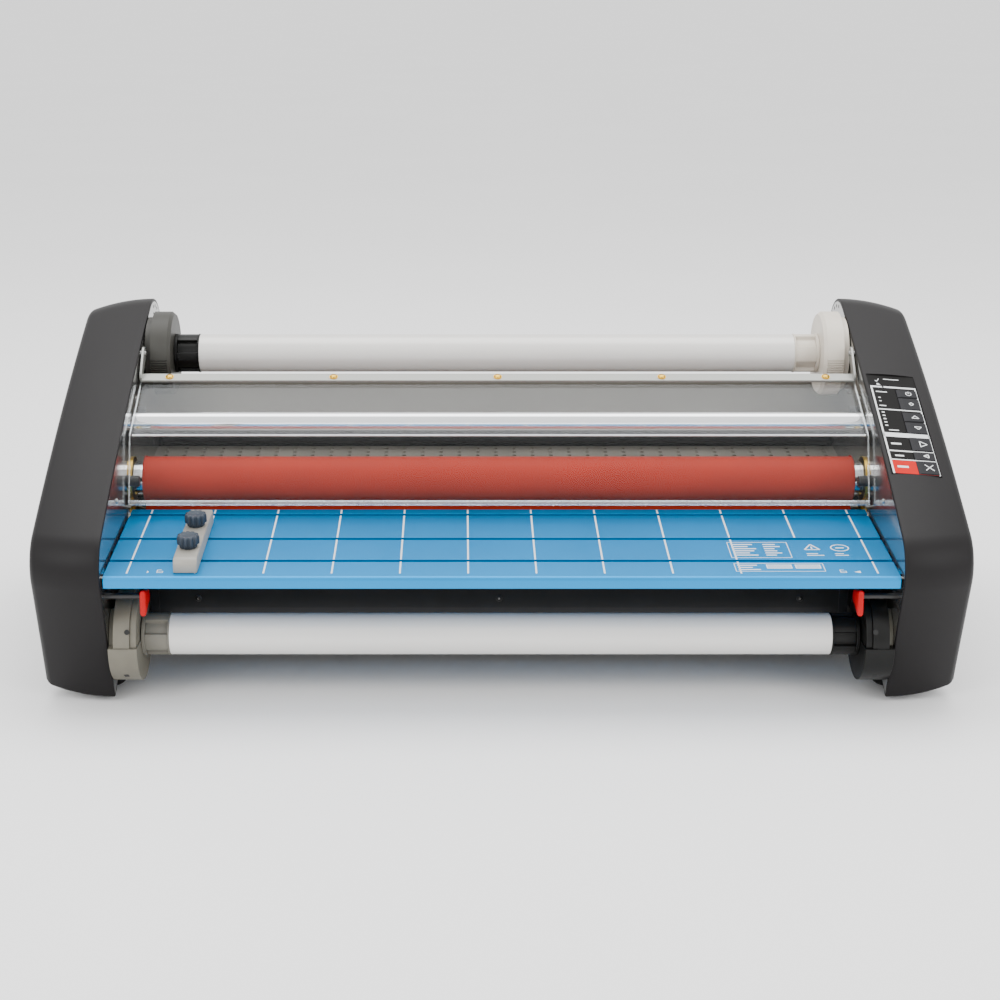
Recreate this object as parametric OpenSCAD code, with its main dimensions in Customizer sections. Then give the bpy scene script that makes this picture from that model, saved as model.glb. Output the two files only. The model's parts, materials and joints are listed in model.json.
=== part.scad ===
// Desktop roll laminator with a sliding feed table, heated rubber rollers and a hinged clear shield.
// X runs along the rollers, +Y points to the back and +Z is up.
// The origin is on the floor, under the middle.

/* [Overall] */
// Clear width between the two side walls
inner_w = 745; // [560:5:1000]
// Width of each side cover
cover_w = 68.5; // [64:0.5:90]
// Depth from the front of the covers to their backs
body_d = 470; // [450:5:600]
// Height of the covers above the floor
body_h = 335; // [325:1:410]
// Height of the rubber feet
foot_h = 22; // [15:1:30]
// Diameter of the rubber feet
foot_d = 40; // [24:1:44]
// Thickness of the moulded covers
cover_t = 3; // [2:0.5:5]
// Thickness of the steel side panels
panel_t = 2.5; // [1.5:0.1:4]
// Thickness of bent sheet metal
sheet_t = 2; // [1:0.1:3]

/* [Side outline] */
// Radius of the rounded nose
nose_r = 42; // [30:1:50]
// Height of the nose centre
nose_z = 140; // [130:1:150]
// Backward lean of the front below the nose, in degrees
front_lean = 18.8; // [10:0.1:24]
// Height of the toe centre at the bottom of the front
toe_z = 9; // [8:0.5:14]
// Radius of the toe
toe_r = 4; // [2:0.5:6]
// Distance from the front to the end of the toe
toe_back = 76; // [66:1:80]
// Radius of the rounded top
top_r = 52; // [44:1:60]
// Distance from the front to the centre of the rounded top
top_y = 370; // [350:1:380]
// Height of the bulge in the sloping top edge
slope_bulge = 6; // [0:0.5:12]
// Radius of the rear corners
rear_r = 20; // [10:1:30]
// Height of the centre of the upper rear corner
rear_z = 190; // [150:1:220]
// Share by which the outline shrinks from the inner to the outer side of a cover
crown = 0.065; // [0:0.005:0.1]
// Radius of the outer edge of a cover
edge_r = 6; // [2:0.5:8]

/* [Film path] */
// Rise of the film path towards the back, in degrees
path_slope = 5.15; // [0:0.05:8]
// Distance from the front to the nip between the heated rollers
nip_y = 199.4; // [195:0.1:205]
// Height of the nip
nip_z = 158.2; // [152:0.1:165]
// Radius of the heated rollers over their rubber
nip_r = 23.5; // [18:0.5:29]
// Thickness of the rubber on the heated rollers
rubber_t = 6; // [3:0.5:8]
// Radius of the bare ends of the heated rollers
journal_r = 17.5; // [15:0.5:18]
// Length of each bare end of the heated rollers inside the walls
journal_l = 13; // [8:0.5:20]
// Gap between two rollers that face each other
roller_gap = 0.4; // [0.3:0.1:2]
// Radius of the pull rollers
pull_r = 16; // [12:0.5:20]
// Distance along the path from the nip to the pull rollers
pull_run = 171.3; // [168:0.1:180]
// Radius of the pull roller shafts
pull_shaft_r = 6; // [4:0.5:8]
// Radius of the film idler bar
idler_r = 9.2; // [6:0.1:9.5]
// Distance from the front to the idler bar
idler_y = 216; // [210:1:220]
// Height of the idler bar
idler_z = 237.2; // [232:0.1:238]
// Radius of the pins of the idler bar
idler_pin_r = 5; // [3:0.5:6]

/* [Film supply] */
// Distance from the front to the upper supply roll
upper_roll_y = 332.9; // [330:0.1:336]
// Height of the upper supply roll
upper_roll_z = 283.3; // [280:0.1:288]
// Distance from the front to the lower supply roll
lower_roll_y = 59.9; // [58:0.1:64]
// Height of the lower supply roll
lower_roll_z = 64.9; // [62:0.1:70]
// Outer radius of a film core
core_r = 20; // [16:0.5:24]
// Wall of a film core
core_wall = 3; // [2:0.5:4]
// Distance from a side wall to the end of a film core
core_inset = 55; // [50:0.5:70]
// Radius of the journals of the core ends
spool_r = 12; // [9:0.5:14.5]
// Radius of the fixed saddles
saddle_r = 33; // [28:0.5:35]
// Thickness of the fixed saddles along X
saddle_w = 14; // [10:0.5:16]
// Radius of the turning retainers
retainer_r = 44.6; // [40:0.1:45]
// Thickness of the face of a retainer
retainer_t = 12; // [6:0.5:13]

/* [Feed table] */
// Distance along the path from the nip to the front edge of the table
table_front = 195.1; // [190:0.1:196]
// Thickness of the table plate
table_t = 3; // [2:0.5:5]
// Height of the front face of the table
table_face = 11.7; // [10.5:0.1:14]
// Gap between the table and each wall
table_side_gap = 2; // [1:0.5:4]
// Width of the opening of the T slots
slot_gap = 5.2; // [4.8:0.1:7]
// Place of the edge guide along X
guide_x = -295; // [-340:1:300]
// Width of the edge guide
guide_w = 22.3; // [18:0.1:30]
// Height of the edge guide
guide_h = 14; // [8:0.5:18]
// Diameter of the clamp knobs
knob_d = 21.5; // [16:0.5:26]
// Height of the clamp knobs
knob_h = 12.5; // [8:0.5:18]

/* [Shield] */
// Thickness of the clear pane
pane_t = 2.5; // [1.5:0.1:3]
// Gap between the pane and each wall
pane_side_gap = 2; // [1.5:0.1:6]
// Width of the bar along the top of the pane
bar_w = 12; // [8:0.5:14]
// Thickness of the bar
bar_t = 3; // [2:0.5:4]
// Radius of the shield's hinge pins
shield_pin_r = 3; // [2:0.5:4]

/* [Drive] */
// Number of teeth on each heated roller gear
gear_teeth = 24; // [18:2:30]
// Number of teeth on the motor pinion
pinion_teeth = 12; // [10:1:14]
// Width of the gears
gear_w = 10; // [6:0.5:12]
// Radius of the motor
motor_r = 26; // [18:0.5:27]
// Radius of the belt pulley on the heated roller
nip_pulley_r = 22; // [18:0.5:23]
// Radius of the belt pulley on the pull roller
pull_pulley_r = 15; // [12:0.5:16]
// Thickness of the drive belt
belt_t = 2; // [1:0.1:3]

/* [Controls] */
// Width of the control panel
panel_w = 49.5; // [40:0.5:52]
// Length of the control panel up the slope
panel_len = 155.4; // [150:0.1:170]
// Width of the buttons
button_w = 21; // [14:0.5:24]
// Travel of the buttons
button_travel = 1.2; // [0.5:0.1:2]

/* [Clearances] */
// Radial clearance of shafts and pins in their bores
fit = 0.06; // [0.03:0.01:0.1]
// Gap between a moving piece and its neighbour
gap = 0.5; // [0.3:0.1:0.8]

/* [Hidden] */

// Smoothness of round parts, and of circles that are joined by a hull
$fn = 48;
hull_fn = 32;
// A cut runs this far past the face that it opens
past = 1;

// Walls
wall_x = inner_w / 2;
panel_x = wall_x + panel_t;
panel_play = 0.2;
panel_inset = cover_t + panel_play;
function from_front(y) = y - body_d / 2;

// Film path: t runs along it from the nip to the back, n stands up from it
nip_axis_n = nip_r + roller_gap / 2;
pull_axis_n = pull_r + roller_gap / 2;
function on_path_yz(t, n) = [
    from_front(nip_y) + t * cos(path_slope) - n * sin(path_slope),
    nip_z + t * sin(path_slope) + n * cos(path_slope)
];
upper_nip = on_path_yz(0, nip_axis_n);
lower_nip = on_path_yz(0, -nip_axis_n);
upper_pull = on_path_yz(pull_run, pull_axis_n);
lower_pull = on_path_yz(pull_run, -pull_axis_n);
idler = [from_front(idler_y), idler_z];
upper_roll = [from_front(upper_roll_y), upper_roll_z];
lower_roll = [from_front(lower_roll_y), lower_roll_z];

// Roller ends outside the walls
bearing_r = journal_r + 3.5;
bearing_lip = 2.5;
shaft_out = panel_x + 3;
gear_x = shaft_out + 0.5;
gear_bore_r = journal_r - 3.5;
heater_bore_r = gear_bore_r - 4;
heater_r = heater_bore_r - 4;
stub_end = gear_x + gear_w + 1;
pull_end_x = wall_x - 4;

// Gears
gear_module = 2 * nip_axis_n / gear_teeth;
tooth_share = 0.4;
pinion_angle = -60;
pinion_shaft_r = 5;
pinion_centres = gear_module * (gear_teeth + pinion_teeth) / 2;
pinion = lower_nip + pinion_centres * [cos(pinion_angle), sin(pinion_angle)];
path_up_angle = 90 + path_slope;

// Side outline
nose_c = [from_front(nose_r), nose_z];
top_c = [from_front(top_y), body_h - top_r];
rear_high_c = [from_front(body_d - rear_r), rear_z];
rear_low_c = [from_front(body_d - rear_r), foot_h + rear_r];
toe_c = [
    nose_c[0] + ((nose_z - toe_z) * sin(front_lean) - nose_r + toe_r) / cos(front_lean),
    toe_z
];
crown_c = [0, 150];
slope_steps = 10;

function arc(c, r, a0, a1, steps) = [
    for (i = [0:steps])
        let (a = a0 + (a1 - a0) * i / steps)
        c + r * [cos(a), sin(a)]
];
// Direction of the normal of the line that touches two circles on its left side
function tangent_normal(a, ra, b, rb) =
    let (d = b - a)
    atan2(d[1], d[0]) + 90 - asin((ra - rb) / norm(d));
slope_normal = tangent_normal(nose_c, nose_r, top_c, top_r);
rear_normal = tangent_normal(top_c, top_r, rear_high_c, rear_r);
bulge_angle = atan(4 * slope_bulge / norm(top_c - nose_c));
slope_start = nose_c + nose_r * [cos(slope_normal + bulge_angle), sin(slope_normal + bulge_angle)];
slope_end = top_c + top_r * [cos(slope_normal - bulge_angle), sin(slope_normal - bulge_angle)];

function slope_points(p, q) = [
    for (i = [1:slope_steps - 1])
        let (s = i / slope_steps)
        p + (q - p) * s + 4 * slope_bulge * s * (1 - s) * [cos(slope_normal), sin(slope_normal)]
];
// The outline of a side, [y, z] points, moved inwards by inset
function outline(inset) =
    let (
        nose = arc(nose_c, nose_r - inset, 180 + front_lean, slope_normal + bulge_angle, 10),
        top = arc(top_c, top_r - inset, slope_normal - bulge_angle, rear_normal, 10)
    )
    concat(
        nose,
        slope_points(nose[len(nose) - 1], top[0]),
        top,
        arc(rear_high_c, rear_r - inset, rear_normal, 0, 3),
        arc(rear_low_c, rear_r - inset, 0, -90, 5),
        [[from_front(toe_back) + inset / 3, foot_h + inset]],
        arc(toe_c, max(0.5, toe_r - inset), -57, front_lean - 180, 4)
    );

// One ring of a cover, u from its inner side, moved inwards by inset
function cover_ring(u, inset) =
    let (shrink = 1 - crown * pow(u / cover_w, 2))
    [for (p = outline(inset)) [wall_x + u, each crown_c + (p - crown_c) * shrink]];
edge_angles = [0, 30, 60, 90];
rim_r = 1.5;
cover_rings = concat(
    [for (s = [1, 0.7, 0.4, 0.1, 0]) cover_ring((cover_w - cover_t) * s, cover_t)],
    [cover_ring(0, rim_r), cover_ring(rim_r, 0)],
    [for (s = [0.25, 0.45, 0.65, 0.8]) cover_ring((cover_w - edge_r) * s, 0)],
    [for (a = edge_angles) cover_ring(cover_w - edge_r + edge_r * sin(a), edge_r * (1 - cos(a)))]
);

// Control panel, in a frame that lies on the slope of the right cover
panel_place = 0.44;
panel_sink = 1.2;
panel_deep = 8;
overlay_gap = 1;
panel_left_u = panel_t + overlay_gap;
panel_mid_x = wall_x + panel_left_u + panel_w / 2;
slope_out = [cos(slope_normal), sin(slope_normal)];
slope_reach = (slope_start + (slope_end - slope_start) * panel_place - crown_c) * slope_out;
panel_rise = pow((panel_left_u + panel_w) / cover_w, 2) - pow(panel_left_u / cover_w, 2);
panel_fall = crown * slope_reach * panel_rise;
panel_roll = asin(panel_fall / panel_w);
button_edge = 1.6;
button_u = (panel_w - button_w) / 2 - button_edge;
button_deep = 3;
button_proud = 1;
panel_fit = 0.2;
well_room = 1.8;
button_well = button_deep + button_travel + well_room;
// Lower and upper edge of each button, from the middle of the panel up the slope
button_spans = [
    [42.3, 53.8],
    [22.8, 40.3],
    [4, 17.3],
    [-14.7, 2],
    [-41.2, -21.7],
    [-55.2, -43.7],
    [-76.2, -57.3]
];

// Film supply
core_end_x = wall_x - core_inset;
retainer_play = 2;
retainer_face_x = wall_x - retainer_play - saddle_w - gap - retainer_t;
neck_end_x = retainer_face_x - 1;
slot_half = spool_r + 1;
plug_l = 18;

// Feed table
table_back = nip_r + 2.5;
table_half_w = wall_x - table_side_gap;
slot_places = [39.4, 92.9, 155];
slot_floor = 10.4;
slot_wall = 2.3;
slot_in_w = 12.4;
slot_in_top = 3.2;
slot_in_h = 4.6;
rail_w = 10;
guide_start = 9.5;
guide_end = 135;
guide_lift = 0.3;
stud_r = 2;

// Shield: its outline in the YZ plane runs from the bar, over the bend, to the lip
hinge = [from_front(280.5), 294];
bar_back = [from_front(266), 273.3];
bend = [from_front(176), 233];
lip = [from_front(153), 169];
lip_r = 3;
rivet_places = [-0.457, -0.2285, 0, 0.2285, 0.457];
post = [from_front(168.8), 187];
post_r = 5.5;
post_l = journal_l - 1;
stub = [from_front(257), 239];
stub_r = 4;
stub_l = 6;
arm_t = 2.5;
arm_gap = 1.5;
arm_x = wall_x - arm_gap - arm_t;
arm_hub_r = 7;
arm_tip_r = 4.5;
shield_pin_proud = 1.5;
shield_pin_x = arm_x - shield_pin_proud;

// Latches
latch = [from_front(24), 116];
latch_x = wall_x - 35.5;
latch_w = 6;
latch_pin_r = 3;
latch_hub_r = 7;
latch_tip_r = 2.5;
latch_tips = [[-19, -11], [-17.5, 8.5]];

// Frame
tray_z = 30;
tray_lip = 20;
front_panel_y = 127;
front_panel_inset = 24.5;
rear_y = body_d - 16;
back_panel_foot = [from_front(363), 208];
back_panel_top = [from_front(380.5), 247];
exit_slot_h = 18;
exit_slot_inset = 27;
hole_pitch = 20;
hole_row = 10.5;
hole_r = 2.5;
plate_t = 3;
plate_start = nip_r + 5;
plate_end = pull_run - 10.3;
fan_run = 94;
fan_w = 92;
fan_h = 25;
fan_r = 42;
inlet_x = 250;
inlet_z = 70;

module rod(r, x0, x1, at = [0, 0]) {
    translate([x0, at[0], at[1]])
        rotate([0, 90, 0])
            cylinder(r = r, h = x1 - x0);
}

// Draws a flat [y, z] shape as a bar along X, centred on the middle
module along_x(l) {
    rotate([90, 0, 90])
        linear_extrude(height = l, center = true)
            children();
}

module box(x, y, z) {
    translate([x[0], y[0], z[0]])
        cube([x[1] - x[0], y[1] - y[0], z[1] - z[0]]);
}

module both_sides() {
    children();
    mirror([1, 0, 0])
        children();
}

module on_path() {
    translate([0, from_front(nip_y), nip_z])
        rotate([path_slope, 0, 0])
            children();
}

// On the face of the control panel, which leans outwards with the crown of the cover
module on_panel() {
    place = slope_start + (slope_end - slope_start) * panel_place;
    lift = slope_bulge - panel_sink;
    translate([panel_mid_x, place[0] + lift * slope_out[0], place[1] + lift * slope_out[1]])
        rotate([slope_normal - 90, 0, 0])
            translate([0, 0, -panel_fall / 2])
                rotate([0, panel_roll, 0])
                    children();
}

// A skin through rings of points, closed by its first and last ring
module loft(rings) {
    n = len(rings[0]);
    points = [for (ring = rings) each ring];
    sides = [
        for (k = [0:len(rings) - 2])
            for (i = [0:n - 1])
                let (
                    a = k * n + i,
                    b = k * n + (i + 1) % n
                )
                each [[a, b + n, b], [a, a + n, b + n]]
    ];
    first = [for (i = [0:n - 1]) i];
    last = [for (i = [n - 1:-1:0]) (len(rings) - 1) * n + i];
    polyhedron(points, concat([first], sides, [last]));
}

module cover_shell() {
    loft(cover_rings);
}

module left_cover() {
    color("#3d3b3b")
        mirror([1, 0, 0])
            cover_shell();
}

module right_cover() {
    color("#3d3b3b")
        difference() {
            cover_shell();
            on_panel()
                translate([0, 0, -panel_deep / 2])
                    cube([panel_w + panel_fit, panel_len + panel_fit, 3 * panel_deep], center = true);
        }
}

module vent_holes() {
    for (r = [28, 36, 44])
        for (a = [-60:15:105]) {
            p = top_c + r * [cos(a), sin(a)];
            if (norm(p - upper_roll) > retainer_r + 5)
                rod(2, wall_x - past, panel_x + past, p);
        }
}

module side_panel() {
    rail_n = -table_face - gap;
    difference() {
        translate([wall_x + panel_t / 2, 0, 0])
            along_x(panel_t)
                polygon(outline(panel_inset));
        for (p = [upper_nip, lower_nip])
            rod(bearing_r, wall_x - past, panel_x + past, p);
        for (p = [upper_pull, lower_pull])
            rod(pull_shaft_r + fit, wall_x - past, panel_x + past, p);
        rod(idler_pin_r + fit, wall_x - past, panel_x + past, idler);
        rod(shield_pin_r + fit, wall_x - past, panel_x + past, hinge);
        vent_holes();
    }
    on_path()
        box([wall_x - rail_w, wall_x], [-table_front + 30, -table_back - 6], [rail_n - sheet_t, rail_n]);
}

module left_side_panel() {
    color("#8f8f8c")
        mirror([1, 0, 0])
            side_panel();
}

module right_side_panel() {
    color("#8f8f8c")
        side_panel();
}

module base_tray() {
    front = from_front(front_panel_y);
    color("#4a4a4a") {
        box([-wall_x, wall_x], [front, from_front(rear_y)], [tray_z, tray_z + sheet_t]);
        box([-wall_x, wall_x], [front, front + sheet_t], [tray_z + sheet_t, tray_z + tray_lip]);
    }
}

module front_panel() {
    front = from_front(front_panel_y) - sheet_t;
    color("#2d2d2f")
        difference() {
            box(
                [-wall_x + front_panel_inset, wall_x - front_panel_inset],
                [front, front + sheet_t],
                [tray_z + 3, nip_z - 19.5]
            );
            translate([0, front - past, 78])
                rotate([-90, 0, 0])
                    cylinder(r = 2, h = sheet_t + 2 * past);
        }
}

module cooling_plate() {
    columns = floor((wall_x - 12) / hole_pitch);
    color("#8f8b80")
        on_path()
            translate([0, 0, -plate_t])
                linear_extrude(height = plate_t)
                    difference() {
                        translate([-wall_x, plate_start])
                            square([inner_w, plate_end - plate_start]);
                        for (i = [-columns:columns])
                            for (k = [0:2])
                                translate([i * hole_pitch, plate_end - 8 - k * hole_row])
                                    circle(r = hole_r, $fn = 16);
                    }
}

module back_panel() {
    lean = back_panel_top - back_panel_foot;
    across = sheet_t * [lean[1], -lean[0]] / norm(lean);
    color("#a19c92")
        along_x(inner_w)
            polygon([
                back_panel_foot,
                back_panel_top,
                back_panel_top + across,
                back_panel_foot + across
            ]);
}

// Sheet hood behind the pull rollers, with the slot where the film leaves
module rear_cover() {
    back = from_front(rear_y);
    hood = back_panel_top + [2.4, 0];
    shoulder = 222;
    exit = on_path_yz(rear_y - nip_y, 0);
    color("#3a3939")
        difference() {
            along_x(inner_w)
                polygon([
                    hood,
                    [back + sheet_t, shoulder],
                    [back + sheet_t, tray_z],
                    [back, tray_z],
                    [back, shoulder - 1.4],
                    hood - [0, sheet_t]
                ]);
            box(
                [-wall_x + exit_slot_inset, wall_x - exit_slot_inset],
                [back - past, back + sheet_t + past],
                [exit[1] - exit_slot_h / 2, exit[1] + exit_slot_h / 2]
            );
            box(
                [inlet_x - 14, inlet_x + 14],
                [back - past, back + sheet_t + past],
                [inlet_z - 10, inlet_z + 10]
            );
        }
}

module roller_bearings() {
    color("#c9a227")
        both_sides()
            for (p = [upper_nip, lower_nip])
                difference() {
                    union() {
                        rod(bearing_r, wall_x - bearing_lip, panel_x + 1, p);
                        rod(bearing_r + 1.5, wall_x - bearing_lip, wall_x, p);
                    }
                    rod(journal_r + fit, wall_x - bearing_lip - past, panel_x + 1 + past, p);
                }
}

module heater_rods() {
    end_x = wall_x + cover_w - cover_t;
    color("#c8c4b8")
        for (p = [upper_nip, lower_nip])
            rod(heater_r, -end_x, end_x, p);
}

module gear_motor() {
    flange_x = stub_end + gap;
    flange_t = 2;
    flange_rim = 10;
    motor_l = 38;
    motor_bore = 10;
    post_place = motor_r + flange_rim / 2;
    color("#55585c") {
        difference() {
            union() {
                rod(motor_r + flange_rim, flange_x, flange_x + flange_t, pinion);
                rod(motor_r, flange_x + flange_t, flange_x + flange_t + motor_l, pinion);
            }
            rod(pinion_shaft_r + fit, flange_x - past, flange_x + motor_bore, pinion);
            rod(heater_r + 2, flange_x - past, flange_x + flange_t + past, lower_nip);
        }
        for (a = [0, -90, 180])
            rod(4, panel_x, flange_x, pinion + post_place * [cos(a), sin(a)]);
    }
}

module circuit_board() {
    x = panel_x + 20;
    y = from_front(300);
    board_t = 1.6;
    board_l = 110;
    board_z = [110, 185];
    post_in = 6;
    face = x + board_t;
    color("#2f6b3c") {
        box([x, face], [y, y + board_l], board_z);
        for (post_y = [y + post_in, y + board_l - post_in])
            for (post_z = [board_z[0] + post_in, board_z[1] - post_in])
                rod(3, panel_x, x, [post_y, post_z]);
    }
    color("#3a3a3a") {
        box([face, x + 24], [y + 10, y + 45], [122, 160]);
        box([face, x + 14], [y + 55, y + 100], [120, 135]);
    }
}

module fan_frame() {
    color("#303030")
        on_path()
            translate([0, fan_run, -plate_t - fan_h]) {
                difference() {
                    translate([0, 0, fan_h / 2])
                        cube([fan_w, fan_w, fan_h], center = true);
                    translate([0, 0, 3])
                        cylinder(r = fan_r, h = fan_h);
                    for (a = [45:90:315])
                        rotate(a)
                            translate([15, -18, -past])
                                cube([fan_r - 17, 36, 6]);
                    translate([0, 0, -past])
                        cylinder(r = stud_r + fit, h = 6);
                }
            }
}

module fan_rotor() {
    color("#4a4a4a")
        on_path()
            translate([0, fan_run, -plate_t - fan_h]) {
                cylinder(r = stud_r, h = 6);
                translate([0, 0, 4])
                    cylinder(r = 15, h = 18);
                for (a = [0:60:300])
                    rotate(a)
                        translate([13, -1, 6])
                            rotate([35, 0, 0])
                                cube([fan_r - 16, 2, 16]);
            }
}

module power_inlet() {
    y = from_front(rear_y) + sheet_t;
    translate([inlet_x, y, inlet_z]) {
        color("#1f1f1f")
            difference() {
                union() {
                    box([-25, 25], [0, 2.5], [-14, 14]);
                    box([-13.8, 13.8], [-22, 0], [-9.8, 9.8]);
                }
                box([-11.5, 11.5], [-18, 2.5 + past], [-7.5, 7.5]);
            }
        color("#c8c8c8")
            for (p = [[-7, -1.5], [0, 2.5], [7, -1.5]])
                box([p[0] - 1, p[0] + 1], [-18, -3], [p[1] - 2, p[1] + 2]);
    }
}

module feet() {
    color("#1b1b1b")
        both_sides()
            for (y = [toe_back + 4 + foot_d / 2, body_d - 50 - foot_d / 2])
                translate([wall_x + 17.5, from_front(y), 0])
                    cylinder(r = foot_d / 2, h = foot_h);
}

// Fixed seat for one end of a supply roll, open at the top
module saddle(p) {
    difference() {
        rod(saddle_r, wall_x - saddle_w, wall_x, p);
        rod(spool_r + fit, wall_x - saddle_w - past, wall_x + past, p);
        box(
            [wall_x - saddle_w - past, wall_x + past],
            [p[0] - spool_r - fit, p[0] + spool_r + fit],
            [p[1], p[1] + saddle_r + past]
        );
    }
}

module upper_saddles() {
    color("#6b6a60")
        both_sides()
            saddle(upper_roll);
}

module lower_saddles() {
    color("#8c8877")
        both_sides()
            saddle(lower_roll);
}

// Turning retainer around a saddle; its slot points to the back at rest
module retainer(p) {
    difference() {
        rod(retainer_r, retainer_face_x, wall_x - 1, p);
        rod(saddle_r + gap, wall_x - saddle_w - gap, wall_x, p);
        rod(slot_half, retainer_face_x - past, wall_x, p);
        box(
            [retainer_face_x - past, wall_x],
            [p[0], p[0] + retainer_r + past],
            [p[1] - slot_half, p[1] + slot_half]
        );
    }
}

module upper_left_retainer() {
    color("#5c5b53")
        mirror([1, 0, 0])
            retainer(upper_roll);
}

module upper_right_retainer() {
    color("#e3ddd3")
        retainer(upper_roll);
}

module lower_left_retainer() {
    color("#8c8877")
        mirror([1, 0, 0])
            retainer(lower_roll);
}

module lower_right_retainer() {
    color("#1f1f1d")
        retainer(lower_roll);
}

module core_tube(p) {
    color("#e8e6e2")
        difference() {
            rod(core_r, -core_end_x, core_end_x, p);
            rod(core_r - core_wall, -core_end_x - past, core_end_x + past, p);
        }
}

module upper_core_tube() {
    core_tube(upper_roll);
}

module lower_core_tube() {
    core_tube(lower_roll);
}

// Plug, neck with two flats and journal at one end of a supply roll
module core_end(p) {
    neck_r = core_r - 1;
    rod(core_r - core_wall, core_end_x - plug_l, core_end_x, p);
    difference() {
        rod(neck_r, core_end_x, neck_end_x, p);
        for (s = [-1, 1])
            translate([(core_end_x + neck_end_x) / 2, p[0] + s * neck_r, p[1]])
                cube([(neck_end_x - core_end_x) * 0.55, 5, neck_r], center = true);
    }
    rod(spool_r, neck_end_x, wall_x - gap, p);
}

module upper_left_core_end() {
    color("#1f1f1d")
        mirror([1, 0, 0])
            core_end(upper_roll);
}

module upper_right_core_end() {
    color("#e3ddd3")
        core_end(upper_roll);
}

module lower_left_core_end() {
    color("#a09d92")
        mirror([1, 0, 0])
            core_end(lower_roll);
}

module lower_right_core_end() {
    color("#1f1f1d")
        core_end(lower_roll);
}

// Posts that stop the shield, short interlock stubs and the pins of the latches
module wall_posts() {
    color("#222222")
        both_sides() {
            rod(post_r, wall_x - post_l, wall_x, post);
            rod(stub_r, wall_x - stub_l, wall_x, stub);
            rod(latch_pin_r, latch_x - latch_w, wall_x, latch);
        }
}

module control_overlay() {
    color("#26262a")
        on_panel()
            difference() {
                translate([0, 0, -panel_deep / 2])
                    cube([panel_w, panel_len, panel_deep], center = true);
                for (span = button_spans) {
                    well_l = span[1] - span[0] + 2 * gap;
                    translate([button_u, (span[0] + span[1]) / 2, 0])
                        cube([button_w + 2 * gap, well_l, 2 * button_well], center = true);
                }
            }
}

module button(i) {
    span = button_spans[i];
    on_panel()
        translate([button_u, (span[0] + span[1]) / 2, (button_proud - button_deep) / 2])
            cube([button_w, span[1] - span[0], button_proud + button_deep], center = true);
}

module power_button() {
    color("#3a3a40")
        button(0);
}

module mode_button() {
    color("#3a3a40")
        button(1);
}

module speed_up_button() {
    color("#3a3a40")
        button(2);
}

module speed_down_button() {
    color("#3a3a40")
        button(3);
}

module run_button() {
    color("#3a3a40")
        button(4);
}

module reverse_button() {
    color("#3a3a40")
        button(5);
}

module stop_button() {
    color("#3a3a40")
        button(6);
}

module drive_belt() {
    room = gap;
    color("#1d1d1d")
        translate([-gear_x - gear_w / 2, 0, 0])
            along_x(gear_w - 3)
                difference() {
                    hull() {
                        translate(lower_nip)
                            circle(r = nip_pulley_r + room + belt_t, $fn = hull_fn);
                        translate(lower_pull)
                            circle(r = pull_pulley_r + room + belt_t, $fn = hull_fn);
                    }
                    hull() {
                        translate(lower_nip)
                            circle(r = nip_pulley_r + room, $fn = hull_fn);
                        translate(lower_pull)
                            circle(r = pull_pulley_r + room, $fn = hull_fn);
                    }
                }
}

// Steel tube of a heated roller; the stub carries a gear on the right or a pulley on the left
module nip_shaft(p, left_end) {
    difference() {
        union() {
            rod(nip_r - rubber_t, -(wall_x - journal_l), wall_x - journal_l, p);
            both_sides()
                rod(journal_r, wall_x - journal_l, shaft_out, p);
            rod(gear_bore_r, shaft_out, stub_end, p);
            if (left_end)
                rod(gear_bore_r, -stub_end, -shaft_out, p);
        }
        rod(heater_bore_r, -stub_end - past, stub_end + past, p);
    }
}

module upper_nip_shaft() {
    color("#c9ccce")
        nip_shaft(upper_nip, false);
}

module lower_nip_shaft() {
    color("#c9ccce")
        nip_shaft(lower_nip, true);
}

module nip_rubber(p) {
    end_x = wall_x - journal_l;
    color("#a94b3e")
        difference() {
            rod(nip_r, -end_x, end_x, p);
            rod(nip_r - rubber_t, -end_x - past, end_x + past, p);
        }
}

module upper_nip_rubber() {
    nip_rubber(upper_nip);
}

module lower_nip_rubber() {
    nip_rubber(lower_nip);
}

// Outline of a spur gear with one tooth centred at the angle turn
module gear_shape(teeth, turn) {
    pitch_r = gear_module * teeth / 2;
    root_r = pitch_r - 1.2 * gear_module;
    tip_r = pitch_r + 0.8 * gear_module;
    half = 180 / teeth * tooth_share;
    polygon([
        for (i = [0:teeth - 1])
            let (a = turn + 360 * i / teeth)
            each [
                root_r * [cos(a - 1.9 * half), sin(a - 1.9 * half)],
                root_r * [cos(a - 1.5 * half), sin(a - 1.5 * half)],
                pitch_r * [cos(a - half), sin(a - half)],
                tip_r * [cos(a - 0.45 * half), sin(a - 0.45 * half)],
                tip_r * [cos(a + 0.45 * half), sin(a + 0.45 * half)],
                pitch_r * [cos(a + half), sin(a + half)],
                root_r * [cos(a + 1.5 * half), sin(a + 1.5 * half)],
                root_r * [cos(a + 1.9 * half), sin(a + 1.9 * half)]
            ]
    ]);
}

module gear(p, teeth, turn, bore) {
    difference() {
        translate([gear_x + gear_w / 2, p[0], p[1]])
            along_x(gear_w)
                gear_shape(teeth, turn);
        rod(bore, gear_x - past, gear_x + gear_w + past, p);
    }
}

module upper_nip_gear() {
    color("#d8d4c8")
        gear(upper_nip, gear_teeth, path_up_angle + 180 + 180 / gear_teeth, gear_bore_r);
}

module lower_nip_gear() {
    color("#d8d4c8")
        gear(lower_nip, gear_teeth, path_up_angle, gear_bore_r);
}

// The pinion's gap meets whichever part of the lower gear's tooth pattern faces it
module motor_pinion() {
    phase = (pinion_angle - path_up_angle) * gear_teeth / 360;
    turn = pinion_angle + 180 - (0.5 - phase) * 360 / pinion_teeth;
    color("#b08d3c") {
        gear(pinion, pinion_teeth, turn, pinion_shaft_r);
        rod(pinion_shaft_r, gear_x - 1, stub_end + 8, pinion);
    }
}

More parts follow.
